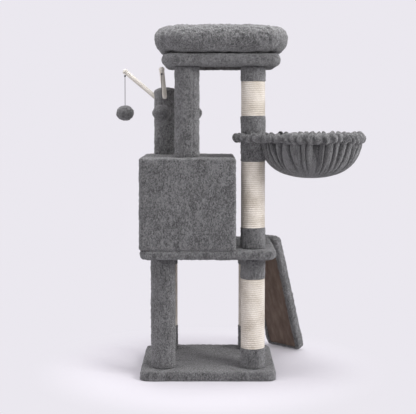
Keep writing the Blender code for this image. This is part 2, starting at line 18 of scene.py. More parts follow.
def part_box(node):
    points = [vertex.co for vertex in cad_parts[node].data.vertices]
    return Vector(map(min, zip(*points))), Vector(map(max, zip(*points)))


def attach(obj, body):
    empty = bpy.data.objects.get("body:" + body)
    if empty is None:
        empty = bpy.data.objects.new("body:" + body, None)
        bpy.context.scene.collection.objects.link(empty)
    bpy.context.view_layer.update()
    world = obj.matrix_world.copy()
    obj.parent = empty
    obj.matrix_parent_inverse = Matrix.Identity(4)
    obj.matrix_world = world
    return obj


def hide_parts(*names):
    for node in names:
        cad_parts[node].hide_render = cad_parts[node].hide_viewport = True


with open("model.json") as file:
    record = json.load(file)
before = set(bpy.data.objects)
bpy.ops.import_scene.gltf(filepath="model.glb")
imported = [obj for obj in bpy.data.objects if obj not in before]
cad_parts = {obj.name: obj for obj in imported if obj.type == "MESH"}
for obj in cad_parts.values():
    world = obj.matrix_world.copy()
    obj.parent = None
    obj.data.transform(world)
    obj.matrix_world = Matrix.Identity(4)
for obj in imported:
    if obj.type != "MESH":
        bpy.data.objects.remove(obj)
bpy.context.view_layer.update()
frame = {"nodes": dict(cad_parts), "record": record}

# %% [markdown]
# ## Camera
# The tree is seen from straight ahead, from a little under waist height and almost three
# metres away. A long lens from far off keeps the posts nearly parallel. The camera tips
# down a little, and a small shift does the rest: tipping alone would make the posts lean.

# %% Camera
CAMERA_PLACE = (0.0, -2.968, 0.779)
CAMERA_LENS = 83.8
CAMERA_SENSOR = 36.0
CAMERA_TIP = math.radians(2.41)
CAMERA_SHIFT = -0.125


def make_camera():
    data = bpy.data.cameras.new("camera")
    data.lens = CAMERA_LENS
    data.sensor_width = CAMERA_SENSOR
    data.shift_y = CAMERA_SHIFT
    camera = bpy.data.objects.new("camera", data)
    bpy.context.scene.collection.objects.link(camera)
    camera.location = CAMERA_PLACE
    camera.rotation_euler = (math.radians(90) - CAMERA_TIP, 0.0, 0.0)
    bpy.context.scene.camera = camera


make_camera()
print("camera lens", CAMERA_LENS, "mm, at", CAMERA_PLACE)

# %% [markdown]
# ## Node materials in few lines
# A procedural material is a small graph. Writing each link by hand gets long, so this
# class adds a node, sets its sockets and links them in one call. A socket given as a
# number is set, and a socket given as another node's output is linked.

# %% A small helper for node graphs
SHEEN_ROUGHNESS = 0.45
MIX_FACTOR = 0
MIX_COLOURS = (6, 7)
MIX_RESULT = 2


class Graph:
    """Builds one material's node tree. add() returns the node's first output."""

    def __init__(self, name, roughness, metallic=0.0, sheen=0.0, coat=0.0):
        self.material = bpy.data.materials.new(name)
        self.material.use_nodes = True
        self.nodes = self.material.node_tree.nodes
        self.links = self.material.node_tree.links
        self.shader = self.nodes["Principled BSDF"]
        self.shader.inputs["Roughness"].default_value = roughness
        self.shader.inputs["Metallic"].default_value = metallic
        self.shader.inputs["Sheen Weight"].default_value = sheen
        self.shader.inputs["Sheen Roughness"].default_value = SHEEN_ROUGHNESS
        self.shader.inputs["Coat Weight"].default_value = coat
        self.place = self.nodes.new("ShaderNodeTexCoord").outputs["Object"]

    def put(self, socket, value):
        if isinstance(value, bpy.types.NodeSocket):
            self.links.new(value, socket)
        else:
            socket.default_value = value

    def add(self, kind, output=0, settings=None, **sockets):
        node = self.nodes.new("ShaderNode" + kind)
        for key, value in (settings or {}).items():
            setattr(node, key, value)
        for key, value in sockets.items():
            slot = int(key[1:]) if key[0] == "i" and key[1:].isdigit() else key.replace("_", " ")
            self.put(node.inputs[slot], value)
        return node.outputs[output]

    def noise(self, scale, detail=3.0, stretch=(1.0, 1.0, 1.0), roughness=0.5, distortion=0.0):
        spot = self.add("Mapping", Vector=self.place, Scale=stretch)
        return self.add(
            "TexNoise", Vector=spot, Scale=scale, Detail=detail, Roughness=roughness, Distortion=distortion
        )

    def sum(self, first, share, second):
        """first times share, plus second."""
        return self.add("Math", settings={"operation": "MULTIPLY_ADD"}, i0=first, i1=share, i2=second)

    def ramp(self, factor, stops):
        """Colours along a factor: stops are (position, (r, g, b))."""
        node = self.nodes.new("ShaderNodeValToRGB")
        self.links.new(factor, node.inputs[0])
        elements = node.color_ramp.elements
        while len(elements) < len(stops):
            elements.new(0.5)
        for element, (position, colour) in zip(elements, stops):
            element.position = position
            element.color = (*colour, 1.0)
        return node.outputs[0]

    def darken_by_painted_shade(self, plain, shade):
        """Paints shade: darkens a colour where the points' stored shade value is high."""
        groove = self.add("Attribute", output="Fac", settings={"attribute_name": "groove"})
        settings = {"data_type": "RGBA", "blend_type": "MULTIPLY"}
        mixer = self.add("Mix", output="Result", settings=settings).node
        self.links.new(groove, mixer.inputs[MIX_FACTOR])
        self.links.new(plain, mixer.inputs[MIX_COLOURS[0]])
        mixer.inputs[MIX_COLOURS[1]].default_value = (*shade, 1.0)
        return mixer.outputs[MIX_RESULT]

    def colour(self, value):
        self.put(self.shader.inputs["Base Color"], value)

    def bump(self, height, strength, distance):
        made = self.add("Bump", Strength=strength, Distance=distance, Height=height)
        self.links.new(made, self.shader.inputs["Normal"])


print("node graph helper ready")

# %% [markdown]
# ## Plush
# The covering is a short, soft pile in mottled grey. Where the pile has been brushed one
# way it looks lighter, and the other way darker, so the colour drifts in patches of a few
# centimetres, with finer flecks on top. Four sizes of noise give patches, strokes, tufts
# and single hairs. Sheen adds the pale edge that pile has when it is seen at a slant. A
# mesh may also store a value for each point, and where that is high the plush is painted
# darker, as painted shade in the valleys of folds.

# %% Plush material
# Painted shade: the colour multiplied in where a mesh's stored shade value is high.
PLUSH_PAINTED_SHADE = (0.30, 0.30, 0.31)
PATCH_SCALE = 20.0
PATCH_SHARE = 0.16
STROKE_SCALE = 150.0
STROKE_SHARE = 0.31
TUFT_SCALE = 290.0
TUFT_SHARE = 0.46
HAIR_SCALE = 1500.0
HAIR_SHARE = 0.10


def make_plush(name, dark, middle, light, sheen=0.45):
    graph = Graph(name, roughness=0.95, sheen=sheen)
    patches = graph.noise(PATCH_SCALE, detail=3.0, stretch=(1.0, 1.0, 0.7), roughness=0.5, distortion=1.2)
    strokes = graph.noise(STROKE_SCALE, detail=4.0, stretch=(1.0, 1.0, 0.5), roughness=0.65, distortion=1.8)
    tufts = graph.noise(TUFT_SCALE, detail=3.0, stretch=(1.0, 1.0, 0.7), roughness=0.75, distortion=0.8)
    hairs = graph.noise(HAIR_SCALE, detail=2.0, stretch=(1.0, 1.0, 0.4))
    fine = graph.sum(tufts, TUFT_SHARE, graph.sum(hairs, HAIR_SHARE, 0.0))
    blend = graph.sum(patches, PATCH_SHARE, graph.sum(strokes, STROKE_SHARE, fine))
    pile = graph.ramp(blend, [(0.44, dark), (0.50, middle), (0.565, light)])
    graph.colour(graph.darken_by_painted_shade(pile, PLUSH_PAINTED_SHADE))
    graph.bump(graph.sum(strokes, 0.5, graph.sum(tufts, 0.6, hairs)), 0.9, 0.004)
    return graph.material


plush = make_plush("grey_plush", (0.026, 0.026, 0.0262), (0.080, 0.080, 0.0805), (0.190, 0.190, 0.191))
print("plush material:", plush.name)

# %% [markdown]
# ## Sisal, rope and string
# Sisal is a coarse cream fibre. The turns themselves will be real geometry, so the
# material only adds what is smaller: pale and dark fibres along the rope, and painted
# shade in the grooves where two turns meet. The mesh carries a value for that: how deep
# each point lies between turns.

# %% Rope materials
def make_rope(name, dark, light, painted_groove_shade, fibre=620.0):
    graph = Graph(name, roughness=0.85, sheen=0.12)
    fibres = graph.noise(fibre, detail=3.0, stretch=(0.5, 0.5, 2.2), roughness=0.65)
    drift = graph.noise(22.0, detail=2.0)
    blend = graph.sum(fibres, 0.62, graph.sum(drift, 0.42, 0.0))
    plain = graph.ramp(blend, [(0.36, dark), (0.62, light)])
    graph.colour(graph.darken_by_painted_shade(plain, painted_groove_shade))
    graph.bump(fibres, 0.7, 0.0012)
    return graph.material


# Each rope's last colour is painted shade for the grooves between turns.
sisal = make_rope("cream_sisal", (0.42, 0.37, 0.30), (0.75, 0.71, 0.645), (0.66, 0.60, 0.52))
rope = make_rope("cream_rope", (0.60, 0.56, 0.49), (0.86, 0.83, 0.76), (0.45, 0.40, 0.33), fibre=1100.0)


def make_string():
    graph = Graph("dark_string", roughness=0.8, sheen=0.2)
    twist = graph.noise(700.0, detail=2.0, stretch=(1.0, 1.0, 2.5))
    graph.colour(graph.ramp(twist, [(0.35, (0.028, 0.028, 0.031)), (0.65, (0.085, 0.085, 0.092))]))
    graph.bump(twist, 0.6, 0.0006)
    return graph.material


string_material = make_string()
print("rope materials:", sisal.name, rope.name, string_material.name)

# %% [markdown]
# ## Board, card and steel
# Bare board shows in three places: the ramp's back, the undersides and inside the box.
# It is brown fibreboard with faint streaks, and the perch has a paler one. The tubes are
# pressed card, hidden under their covers. The bracket, the studs and the hammock's wire
# are zinc-plated steel with rolling marks.

# %% Hard materials
def make_board(name, dark, middle, light):
    graph = Graph(name, roughness=0.72)
    streaks = graph.noise(60.0, detail=5.0, stretch=(1.0, 1.0, 0.12), roughness=0.65)
    specks = graph.noise(820.0, detail=2.0)
    blend = graph.sum(streaks, 0.7, graph.sum(specks, 0.3, 0.0))
    graph.colour(graph.ramp(blend, [(0.38, dark), (0.50, middle), (0.62, light)]))
    graph.bump(specks, 0.35, 0.0006)
    return graph.material


def make_card():
    graph = Graph("pressed_card", roughness=0.85)
    layers = graph.noise(240.0, detail=3.0, stretch=(1.0, 1.0, 0.25))
    graph.colour(graph.ramp(layers, [(0.35, (0.28, 0.19, 0.11)), (0.65, (0.42, 0.30, 0.18))]))
    graph.bump(layers, 0.3, 0.0005)
    return graph.material


def make_steel():
    graph = Graph("zinc_steel", roughness=0.38, metallic=1.0)
    marks = graph.noise(420.0, detail=3.0, stretch=(0.2, 1.0, 1.0))
    graph.colour(graph.ramp(marks, [(0.3, (0.46, 0.47, 0.49)), (0.7, (0.66, 0.67, 0.69))]))
    rough = graph.add("MapRange", Value=marks, To_Min=0.30, To_Max=0.48)
    graph.put(graph.shader.inputs["Roughness"], rough)
    graph.bump(marks, 0.15, 0.0003)
    return graph.material


board = make_board("brown_board", (0.090, 0.059, 0.043), (0.132, 0.091, 0.067), (0.180, 0.130, 0.098))
pale_board = make_board("pale_board", (0.36, 0.29, 0.20), (0.50, 0.42, 0.31), (0.62, 0.53, 0.40))
card = make_card()
steel = make_steel()
FINISH_OF_SLOT = {
    "plush": plush,
    "sisal": sisal,
    "board": board,
    "cardboard": card,
    "steel": steel,
    "rope": rope,
    "string": string_material,
}
for subpart in frame["record"]["subparts"]:
    node = frame["nodes"][subpart["node"]]
    node.data.materials.clear()
    finish = pale_board if subpart["node"] == "perch_board" else FINISH_OF_SLOT[subpart["material_slot"]]
    node.data.materials.append(finish)

# %% [markdown]
# ## The toys' strings
# Each ball hangs on a string about nine centimetres long from the tip of an arm. A string
# is a free cord, drawn with its real length and thickness. It hangs straight, because the
# ball's weight pulls it down, and it turns with the ball.

# %% Strings
STRING_THICK = 0.0020
STRING_POINTS = 19
TOYS = (1, 2, 3)


def add_object(name, data, material, body):
    """Links a piece, gives it its finish and lets it ride on a body."""
    piece = bpy.data.objects.new(name, data)
    bpy.context.scene.collection.objects.link(piece)
    data.materials.append(material)
    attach(piece, body)
    return piece


def make_string_piece(number):
    low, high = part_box(f"toy_string_{number}")
    centre = (low + high) / 2
    length = high.z - low.z
    curve = bpy.data.curves.new(f"toy_{number}_hanging_string", "CURVE")
    curve.dimensions = "3D"
    curve.bevel_depth = STRING_THICK / 2
    curve.bevel_resolution = 2
    curve.use_fill_caps = True
    spline = curve.splines.new("POLY")
    spline.points.add(STRING_POINTS - 1)
    for step, point in enumerate(spline.points):
        point.co = (centre.x, centre.y, high.z - length * step / (STRING_POINTS - 1), 1.0)
    piece = add_object(curve.name, curve, string_material, f"toy_drop_{number}")
    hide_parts(f"toy_string_{number}")
    return length


string_lengths = [make_string_piece(number) for number in TOYS]
print("string length:", round(sum(string_lengths) / len(TOYS), 4), "m")

# %% [markdown]
# ## Meshes from rows of points
# Posts, ropes, rims and bolsters are all tubes: rows of points, each row a closed ring.
# This helper joins such rows into a clean quad mesh. It can close the tube round on
# itself, and it can store one number for each point, which a material reads later as
# painted shade.

# %% Tube helper
def tube_mesh(name, rows, cyclic=False, values=None):
    """A quad mesh through an array of rows x columns x 3 points, each row a closed ring."""
    rows = np.asarray(rows, float)
    count, columns = rows.shape[:2]
    first = np.arange(count if cyclic else count - 1)
    column = np.arange(columns)
    a = first[:, None] * columns + column
    b = first[:, None] * columns + (column + 1) % columns
    step = ((first + 1) % count)[:, None] * columns
    c = step + (column + 1) % columns
    d = step + column
    faces = np.stack([a, b, c, d], axis=-1).reshape(-1, 4)
    mesh = bpy.data.meshes.new(name)
    mesh.from_pydata(rows.reshape(-1, 3).tolist(), [], faces.tolist())
    if values is not None:
        # These numbers are the painted shade that a material reads.
        layer = mesh.attributes.new("groove", "FLOAT", "POINT")
        layer.data.foreach_set("value", np.asarray(values, np.float32).ravel())
    mesh.shade_smooth()
    return mesh


def ripple(points, size, height, seed=0.0):
    """Smooth noise at each point, from minus height to plus height."""
    flat = np.asarray(points, float).reshape(-1, 3) / size + seed
    made = [noise.noise(point) for point in flat.tolist()]
    return height * np.array(made).reshape(np.asarray(points).shape[:-1])


def ring_points(reach, angle, height):
    """Points round +Z, at a reach, an angle and a height."""
    return np.stack(np.broadcast_arrays(reach * np.cos(angle), reach * np.sin(angle), height), axis=-1)


def outward_of(ahead):
    """Unit vectors square to the way ahead, on its right."""
    ahead = ahead / np.linalg.norm(ahead, axis=1)[:, None]
    return np.stack([ahead[:, 1], -ahead[:, 0]], axis=-1)


def rows_beside(path, outward, side, height):
    """Rows of points, each some way to the side of a flat path and at a height."""
    flat = path[:, None, :] + outward[:, None, :] * side[..., None]
    return np.concatenate([flat, height[..., None]], axis=-1)


def round_box(node):
    """An upright round part's low and high corners, its middle and its radius."""
    low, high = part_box(node)
    return low, high, (low + high) / 2, (high.x - low.x) / 2


print("tube helpers ready")

# %% [markdown]
# ## Sisal winding
# On the real posts one long rope is wound round the tube, each turn tight against the
# last. That is a helix, and a helix of rope has a simple height field: go up the tube and
# the surface rises and falls once for each turn, and the place where it does so shifts by
# one turn for each time round. So the winding is a tube mesh whose radius follows that
# wave. A second, finer wave across each turn gives the twist of the rope's strands.

# %% Sisal winding
ROPE_PITCH = 0.0062
ROPE_BULGE = 0.0021
STRAND_LAY = 0.0075
STRAND_BULGE = 0.00035
ROPE_ROWS = 8
WINDING_COLUMNS = 96
WINDING_PROUD = 0.0006
WINDING_THICK = 0.004


def winding(radius, low, high, pitch, bulge, columns):
    """Rows of points round +Z, and how deep each lies between two turns, from 0 to 1."""
    count = max(3, round((high - low) / pitch * ROPE_ROWS)) + 1
    height = np.linspace(low, high, count)[:, None]
    angle = np.linspace(0.0, 2 * math.pi, columns, endpoint=False)[None, :]
    turn = (height - low) / pitch - angle / (2 * math.pi)
    across = 2 * (turn % 1.0) - 1
    ridge = np.sqrt(np.clip(1 - across**2, 0.0, 1.0))
    strand = np.sin(2 * math.pi * (angle * radius / STRAND_LAY + turn * 0.5)) * ridge
    reach = radius - bulge * (1 - ridge) + STRAND_BULGE * strand
    return ring_points(reach, angle, height), 1 - ridge


def closed_ends(points, values, inner):
    """Adds a row at each end, drawn in to the inner radius, so that the edge has a thickness."""
    rows = [points[0].copy(), *points, points[-1].copy()]
    for row in (rows[0], rows[-1]):
        row[:, :2] *= inner / np.linalg.norm(row[:, :2], axis=1)[:, None]
    # The two end rows get full painted shade.
    return np.array(rows), np.concatenate([values[:1] * 0 + 1, values, values[:1] * 0 + 1])


def wind_post(node):
    low, high, centre, radius = round_box(node)
    reach = radius + WINDING_PROUD
    points, depth = winding(reach, low.z, high.z, ROPE_PITCH, ROPE_BULGE, WINDING_COLUMNS)
    rows, values = closed_ends(points, depth, radius - WINDING_THICK)
    rows += (centre.x, centre.y, 0.0)
    # The depth between turns goes with the mesh as painted shade for the sisal.
    mesh = tube_mesh(node + "_winding", rows, values=values)
    piece = add_object(mesh.name, mesh, sisal, "tree")
    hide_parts(node)
    return len(rows) / ROPE_ROWS


SISAL_NODES = (
    "front_right_post_sisal",
    "rear_left_post_sisal",
    "rear_right_post_sisal",
    "column_lower_sisal",
    "column_upper_sisal",
)
for node in SISAL_NODES:
    print(node, "has", round(wind_post(node)), "turns")

# %% [markdown]
# ## Plush cuffs
# Strips of plush are wrapped round the posts above and below the sisal, and the whole of
# three posts. Each strip is sewn or glued along one upright seam. The sleeve is again a
# tube of rows, with rolled ends, a shallow seam and three sizes of noise, so that its
# outline is soft and uneven like real pile.

# %% Plush sleeves
PILE_STEP = 0.0022
PILE_TUFT = 0.0016
PILE_HAIR = 0.0011
PILE_SWELL = 0.0012
SEAM_DEPTH = 0.0018
SEAM_WIDTH = 0.0035
END_ROLL = 0.0035
ROLL_SHARE = 0.8
SLEEVE_THICK = 0.0055
SWELL_SIZE = 0.034
TUFT_SIZE = 0.0095
HAIR_SIZE = 0.0040


def pile_depth(points, seed):
    """How far the pile stands up at each point: swells, tufts and hairs together."""
    swell = ripple(points, SWELL_SIZE, PILE_SWELL, seed + 4.0)
    tufts = ripple(points, TUFT_SIZE, PILE_TUFT, seed)
    return swell + tufts + ripple(points, HAIR_SIZE, PILE_HAIR, seed + 7.0)


def sleeve_rows(radius, low, high, seam_angle, seed):
    columns = round(2 * math.pi * radius / PILE_STEP)
    count = max(6, round((high - low) / PILE_STEP))
    height = np.linspace(low, high, count)[:, None]
    angle = np.linspace(0.0, 2 * math.pi, columns, endpoint=False)[None, :]
    from_end = np.minimum(height - low, high - height)
    roll = END_ROLL * (1 - np.sqrt(np.clip(1 - (1 - np.clip(from_end / END_ROLL, 0, 1)) ** 2, 0, 1)))
    along = (angle - seam_angle + math.pi) % (2 * math.pi) - math.pi
    seam = SEAM_DEPTH * np.exp(-((along * radius / SEAM_WIDTH) ** 2))
    reach = radius - roll * ROLL_SHARE - seam
    reach = reach + pile_depth(ring_points(reach, angle, height), seed)
    return ring_points(reach, angle, height)


def wrap_post(node, seam_angle, seed):
    low, high, centre, radius = round_box(node)
    rows = sleeve_rows(radius, low.z, high.z, seam_angle, seed)
    rows, _ = closed_ends(rows, rows[..., 0] * 0, radius - SLEEVE_THICK)
    rows += (centre.x, centre.y, 0.0)
    piece = add_object(node + "_pile", tube_mesh(node + "_pile", rows), plush, "tree")
    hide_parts(node)


SLEEVE_NODES = (
    "front_left_post_cover",
    "front_right_low_cuff",
    "front_right_high_cuff",
    "rear_left_low_cuff",
    "rear_left_high_cuff",
    "rear_right_low_cuff",
    "rear_right_high_cuff",
    "column_bottom_cuff",
    "column_middle_cuff",
    "column_top_cuff",
    "tall_post_cover",
)
for index, node in enumerate(SLEEVE_NODES):
    wrap_post(node, seam_angle=math.radians(70 + 23 * index), seed=index * 3.7)
print("wrapped", len(SLEEVE_NODES), "sleeves")

# %% [markdown]
# ## The toy post's cap
# This post ends in the open, so its plush closes over the top in a soft dome. The rows
# simply go on inwards from the sleeve's upper edge, following a quarter of an ellipse.

# %% Toy post
CAP_ROWS = 14
CAP_RISE = 0.013
CAP_SEAM = math.radians(100)
CAP_SEED = 50.0
CAP_TIP = 0.0004
CAP_CALM = 0.006
HOLE_DEPTH = 0.01


def cap_post(node):
    low, high, centre, radius = round_box(node)
    side = sleeve_rows(radius, low.z, high.z - CAP_RISE + END_ROLL, CAP_SEAM, CAP_SEED)[:-2]
    angle = np.arctan2(side[0][:, 1], side[0][:, 0])
    rows = list(side)
    for step in range(1, CAP_ROWS + 1):
        lean = math.radians(90) * step / CAP_ROWS
        reach = max(radius * math.cos(lean), CAP_TIP)
        ring = ring_points(reach, angle, high.z - CAP_RISE + CAP_RISE * math.sin(lean))
        ring[:, 2] += pile_depth(ring, CAP_SEED) * math.sin(lean) * min(1.0, reach / CAP_CALM)
        rows.append(ring)
    rows = np.array(rows) + (centre.x, centre.y, 0.0)
    mesh = tube_mesh(node + "_pile", rows)
    work = bmesh.new()
    work.from_mesh(mesh)
    rim = [edge for edge in work.edges if edge.is_boundary and edge.verts[0].co.z > high.z - HOLE_DEPTH]
    bmesh.ops.holes_fill(work, edges=rim)
    work.to_mesh(mesh)
    work.free()
    piece = add_object(mesh.name, mesh, plush, "tree")
    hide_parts(node)


cap_post("toy_post_cover")
print("capped the toy post")

# %% [markdown]
# ## Plush-covered boards
# The base, the middle platform and the perch are boards with plush stretched over them
# and stapled underneath. One solid with rounded edges does for each: draw the outline,
# extrude it, bevel it, and cut a window where the bare board shows below. The voxel
# remesh then gives even little squares all over, and noise raises the pile from them.

# %% Helpers for solid forms
PILE_VOXEL = 0.0024
CORNER_STEPS = 8
FLOOR_GAP = 0.0004
BEVEL_ANGLE = math.radians(40)
CREASE_SIZE = 0.030


def bake(obj):
    """Replaces the object's mesh by what its modifiers make of it."""
    bpy.context.view_layer.update()
    shaped = obj.evaluated_get(bpy.context.evaluated_depsgraph_get())
    mesh = bpy.data.meshes.new_from_object(shaped)
    obj.modifiers.clear()
    obj.data = mesh


def rounded_outline(low, high, radius, corner_cut=0.0):
    """A rectangle's outline with round corners, whose +X +Y corner may be cut at 45 degrees."""
    points = []
    corners = ((low[0], low[1], 180), (high[0], low[1], 270), (high[0], high[1], 0), (low[0], high[1], 90))
    for x, y, start in corners:
        if start == 0 and corner_cut:
            points += [(x, y - corner_cut), (x - corner_cut, y)]
            continue
        centre_x = x + radius * (1 if x == low[0] else -1)
        centre_y = y + radius * (1 if y == low[1] else -1)
        for step in range(CORNER_STEPS + 1):
            angle = math.radians(start + 90 * step / CORNER_STEPS)
            points.append((centre_x + radius * math.cos(angle), centre_y + radius * math.sin(angle)))
    return points


def plate(name, outline, low, high, matrix=None):
    """A closed solid with a flat outline from low to high."""
    work = bmesh.new()
    face = work.faces.new([work.verts.new((x, y, low)) for x, y in outline])
    made = bmesh.ops.extrude_face_region(work, geom=[face])
    lifted = [item for item in made["geom"] if isinstance(item, bmesh.types.BMVert)]
    bmesh.ops.translate(work, verts=lifted, vec=(0, 0, high - low))
    bmesh.ops.recalc_face_normals(work, faces=work.faces)
    mesh = bpy.data.meshes.new(name)
    work.to_mesh(mesh)
    work.free()
    piece = bpy.data.objects.new(name, mesh)
    bpy.context.scene.collection.objects.link(piece)
    if matrix is not None:
        mesh.transform(matrix)
    return piece


def bevel(piece, width, segments=5):
    modifier = piece.modifiers.new("rounding", "BEVEL")
    modifier.width = width
    modifier.segments = segments
    modifier.limit_method = "ANGLE"
    modifier.angle_limit = BEVEL_ANGLE


def carve(piece, cutter):
    modifier = piece.modifiers.new("cut", "BOOLEAN")
    modifier.operation = "DIFFERENCE"
    modifier.object = cutter


def raise_pile(piece, seed, lift=1.0, crease=0.0):
    """Moves each point out by its pile, and by shallow creases, but never into the floor."""
    mesh = piece.data
    points = np.empty(len(mesh.vertices) * 3, np.float32)
    normals = np.empty(len(mesh.vertices) * 3, np.float32)
    mesh.vertices.foreach_get("co", points)
    mesh.vertices.foreach_get("normal", normals)
    points = points.reshape(-1, 3)
    normals = normals.reshape(-1, 3)
    height = pile_depth(points, seed) * lift
    if crease:
        height = height + ripple(points, CREASE_SIZE, crease, seed + 3.0)
    points = points + normals * height[:, None]
    points[:, 2] = np.maximum(points[:, 2], FLOOR_GAP)
    mesh.vertices.foreach_set("co", points.astype(np.float32).ravel())
    mesh.update()
    mesh.shade_smooth()


def finish_pile(piece, cutters, seed, voxel=PILE_VOXEL):
    """Remeshes a form evenly, raises its pile and gives it the plush."""
    remesh = piece.modifiers.new("even", "REMESH")
    remesh.mode = "VOXEL"
    remesh.voxel_size = voxel
    bake(piece)
    for cutter in cutters:
        bpy.data.objects.remove(cutter, do_unlink=True)
    raise_pile(piece, seed)
    piece.data.materials.clear()
    piece.data.materials.append(plush)
    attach(piece, "tree")


print("solid form helpers ready")

# %% Base, platform and perch
BOARD_CORNER = 0.027
BOARD_EDGE = 0.011
RAMP_CORNER_CUT = 0.060
UNDER_BORDER = 0.012
PLATFORM_BORDER = 0.030
PERCH_CORNER = 0.040
PERCH_EDGE = 0.0165
PERCH_BORDER = 0.035
PERCH_BORDER_AT_POSTS = 0.107
SKIN = 0.0006
BELOW = 0.02


def window(name, low, high, border, top, border_low_y=None):
    """A cutter that opens the underside, leaving a border of plush."""
    start = (low.x + border, low.y + (border_low_y or border))
    stop = (high.x - border, high.y - border)
    return plate(name, rounded_outline(start, stop, BOARD_CORNER / 2), low.z - BELOW, top)


def cover_board(node, board_node, corner, edge, border, seed, corner_cut=0.0, border_low_y=None):
    low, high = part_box(node)
    on_floor = low.z < edge
    start = low.z - BELOW if on_floor else low.z
    piece = plate(node + "_pile", rounded_outline(low, high, corner, corner_cut), start, high.z)
    bevel(piece, edge)
    board_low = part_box(board_node)[0].z
    cutters = [window("window", low, high, border, board_low + SKIN, border_low_y)]
    if on_floor:
        margin = Vector((BELOW, BELOW, 0.0))
        outline = rounded_outline(low - margin, high + margin, corner)
        cutters.append(plate("floor_cut", outline, -2 * BELOW, low.z))
    for cutter in cutters:
        carve(piece, cutter)
    finish_pile(piece, cutters, seed)
    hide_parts(node)
    return len(piece.data.polygons)


made = cover_board("base_cover", "base_board", BOARD_CORNER, BOARD_EDGE, UNDER_BORDER, 11.0)
made += cover_board(
    "platform_cover", "platform_board", BOARD_CORNER, BOARD_EDGE, PLATFORM_BORDER, 23.0, RAMP_CORNER_CUT
)
made += cover_board(
    "perch_cover", "perch_board", PERCH_CORNER, PERCH_EDGE, PERCH_BORDER, 37.0, 0.0, PERCH_BORDER_AT_POSTS
)
print("covered boards:", made, "faces")

# %% [markdown]
# ## The box to hide in
# The box is five panels with plush glued outside. The cover is made as a solid block, then
# hollowed by a smaller block and pierced by a cylinder for the entrance, as the real sheet
# of plush has a round hole cut in it. Its wall reaches into the panels, where it isn't
# seen, because a wall thicker than the voxels survives the remesh cleanly.

# %% Box cover and entrance binding
CONDO_CORNER = 0.012
CONDO_EDGE = 0.008
CONDO_SEAM = 0.0020
CONDO_WALL = 0.009
CONDO_INSIDE_CORNER = 0.004
CONDO_VOXEL = 0.0029
ENTRANCE_RADIUS = 0.088
ENTRANCE_HEIGHT = 0.510
ENTRANCE_POINTS = 64
ENTRANCE_CUT = 0.03
BINDING_DEEP = 0.0105
BINDING_THICK = 0.0060
BINDING_SUNK = 0.0065
BINDING_PUCKERS = 46
BINDING_STEPS = 190
BINDING_COLUMNS = 22
PUCKER_DEEP = 0.05
PUCKER_SPREAD = 9


def make_condo_cover():
    low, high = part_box("condo_cover")
    piece = plate("condo_cover_pile", rounded_outline(low, high, CONDO_CORNER), low.z - CONDO_SEAM, high.z)
    bevel(piece, CONDO_EDGE)
    wall = Vector((CONDO_WALL, CONDO_WALL, 0.0))
    outline = rounded_outline(low + wall, high - wall, CONDO_INSIDE_CORNER)
    inside = plate("inside", outline, low.z - BELOW, high.z - CONDO_WALL)
    middle_x = (low.x + high.x) / 2
    place = Matrix.Translation((middle_x, high.y, ENTRANCE_HEIGHT))
    circle = [
        (ENTRANCE_RADIUS * math.cos(angle), ENTRANCE_RADIUS * math.sin(angle))
        for angle in np.linspace(0, 2 * math.pi, ENTRANCE_POINTS, endpoint=False)
    ]
    turn = Matrix.Rotation(math.radians(90), 4, "X")
    hole = plate("hole", circle, -ENTRANCE_CUT, ENTRANCE_CUT, place @ turn)
    carve(piece, inside)
    carve(piece, hole)
    finish_pile(piece, [inside, hole], 61.0, voxel=CONDO_VOXEL)
    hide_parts("condo_cover")
    return middle_x, high.y


def make_binding(centre_x, front_y):
    """A soft edge of the same plush, drawn round the entrance through cover and panel."""
    turns = np.linspace(0, 2 * math.pi, BINDING_STEPS, endpoint=False)[:, None]
    around = np.linspace(0, 2 * math.pi, BINDING_COLUMNS, endpoint=False)[None, :]
    uneven = ripple(np.dstack([turns * PUCKER_SPREAD + 0 * around] * 3), 1.0, PUCKER_DEEP)
    pucker = 1 + PUCKER_DEEP * np.sin(BINDING_PUCKERS * turns) + uneven
    reach = ENTRANCE_RADIUS + BINDING_THICK * pucker * np.cos(around)
    depth = front_y - BINDING_SUNK + BINDING_DEEP * pucker * np.sin(around)
    points = np.stack(
        [centre_x + reach * np.cos(turns), depth, ENTRANCE_HEIGHT + reach * np.sin(turns)], axis=-1
    )
    mesh = tube_mesh("entrance_binding", points[:, ::-1], cyclic=True)
    add_object("entrance_binding", mesh, plush, "tree")


middle_x, entrance_y = make_condo_cover()
make_binding(middle_x, entrance_y)
print("box cover and entrance binding made")

# %% [markdown]
# ## The bolster
# The bolster is a long stuffed tube that runs round the perch, sewn from four pieces with
# an upright seam at each corner, and sewn down to the perch along its underside. Its shape
# is drawn: a round tube along a rounded rectangle, pulled in at the four corner seams. A
# cloth simulation with pressure is run on it too, with the seams pinned. On this tube it
# moves nothing, as the printed line shows, so what is seen is the drawn shape.

# %% Bolster path and cloth helper
BOLSTER_CORNER = 0.055
BOLSTER_START = 0.93
BOLSTER_STEP = 0.0075
BOLSTER_COLUMNS = 34
SEAM_PINCH = 0.11
SEAM_REACH = 0.006
FILL_PRESSURE = 4.0
FILL_FRAMES = 20
FILL_CAP = 0.010
PIN_REACH = 0.6


def loop_path(low, high, radius, step):
    """Even points round a rounded rectangle, and how far each is from a corner's middle."""
    outline = rounded_outline(low, high, radius)
    points = [Vector((x, y)) for x, y in outline]
    lengths = [(points[(i + 1) % len(points)] - point).length for i, point in enumerate(points)]
    marks = np.concatenate([[0.0], np.cumsum(lengths)])
    count = round(marks[-1] / step)
    closed = np.array([tuple(point) for point in points] + [tuple(points[0])])
    places = np.linspace(0.0, marks[-1], count, endpoint=False)
    xs = np.interp(places, marks, closed[:, 0])
    ys = np.interp(places, marks, closed[:, 1])
    per_corner = CORNER_STEPS + 1
    middles = [marks[per_corner * corner + CORNER_STEPS // 2] for corner in range(4)]
    gaps = np.abs(places[:, None] - np.array(middles)[None, :])
    gaps = np.minimum(gaps, marks[-1] - gaps).min(axis=1)
    return np.stack([xs, ys], axis=-1), gaps


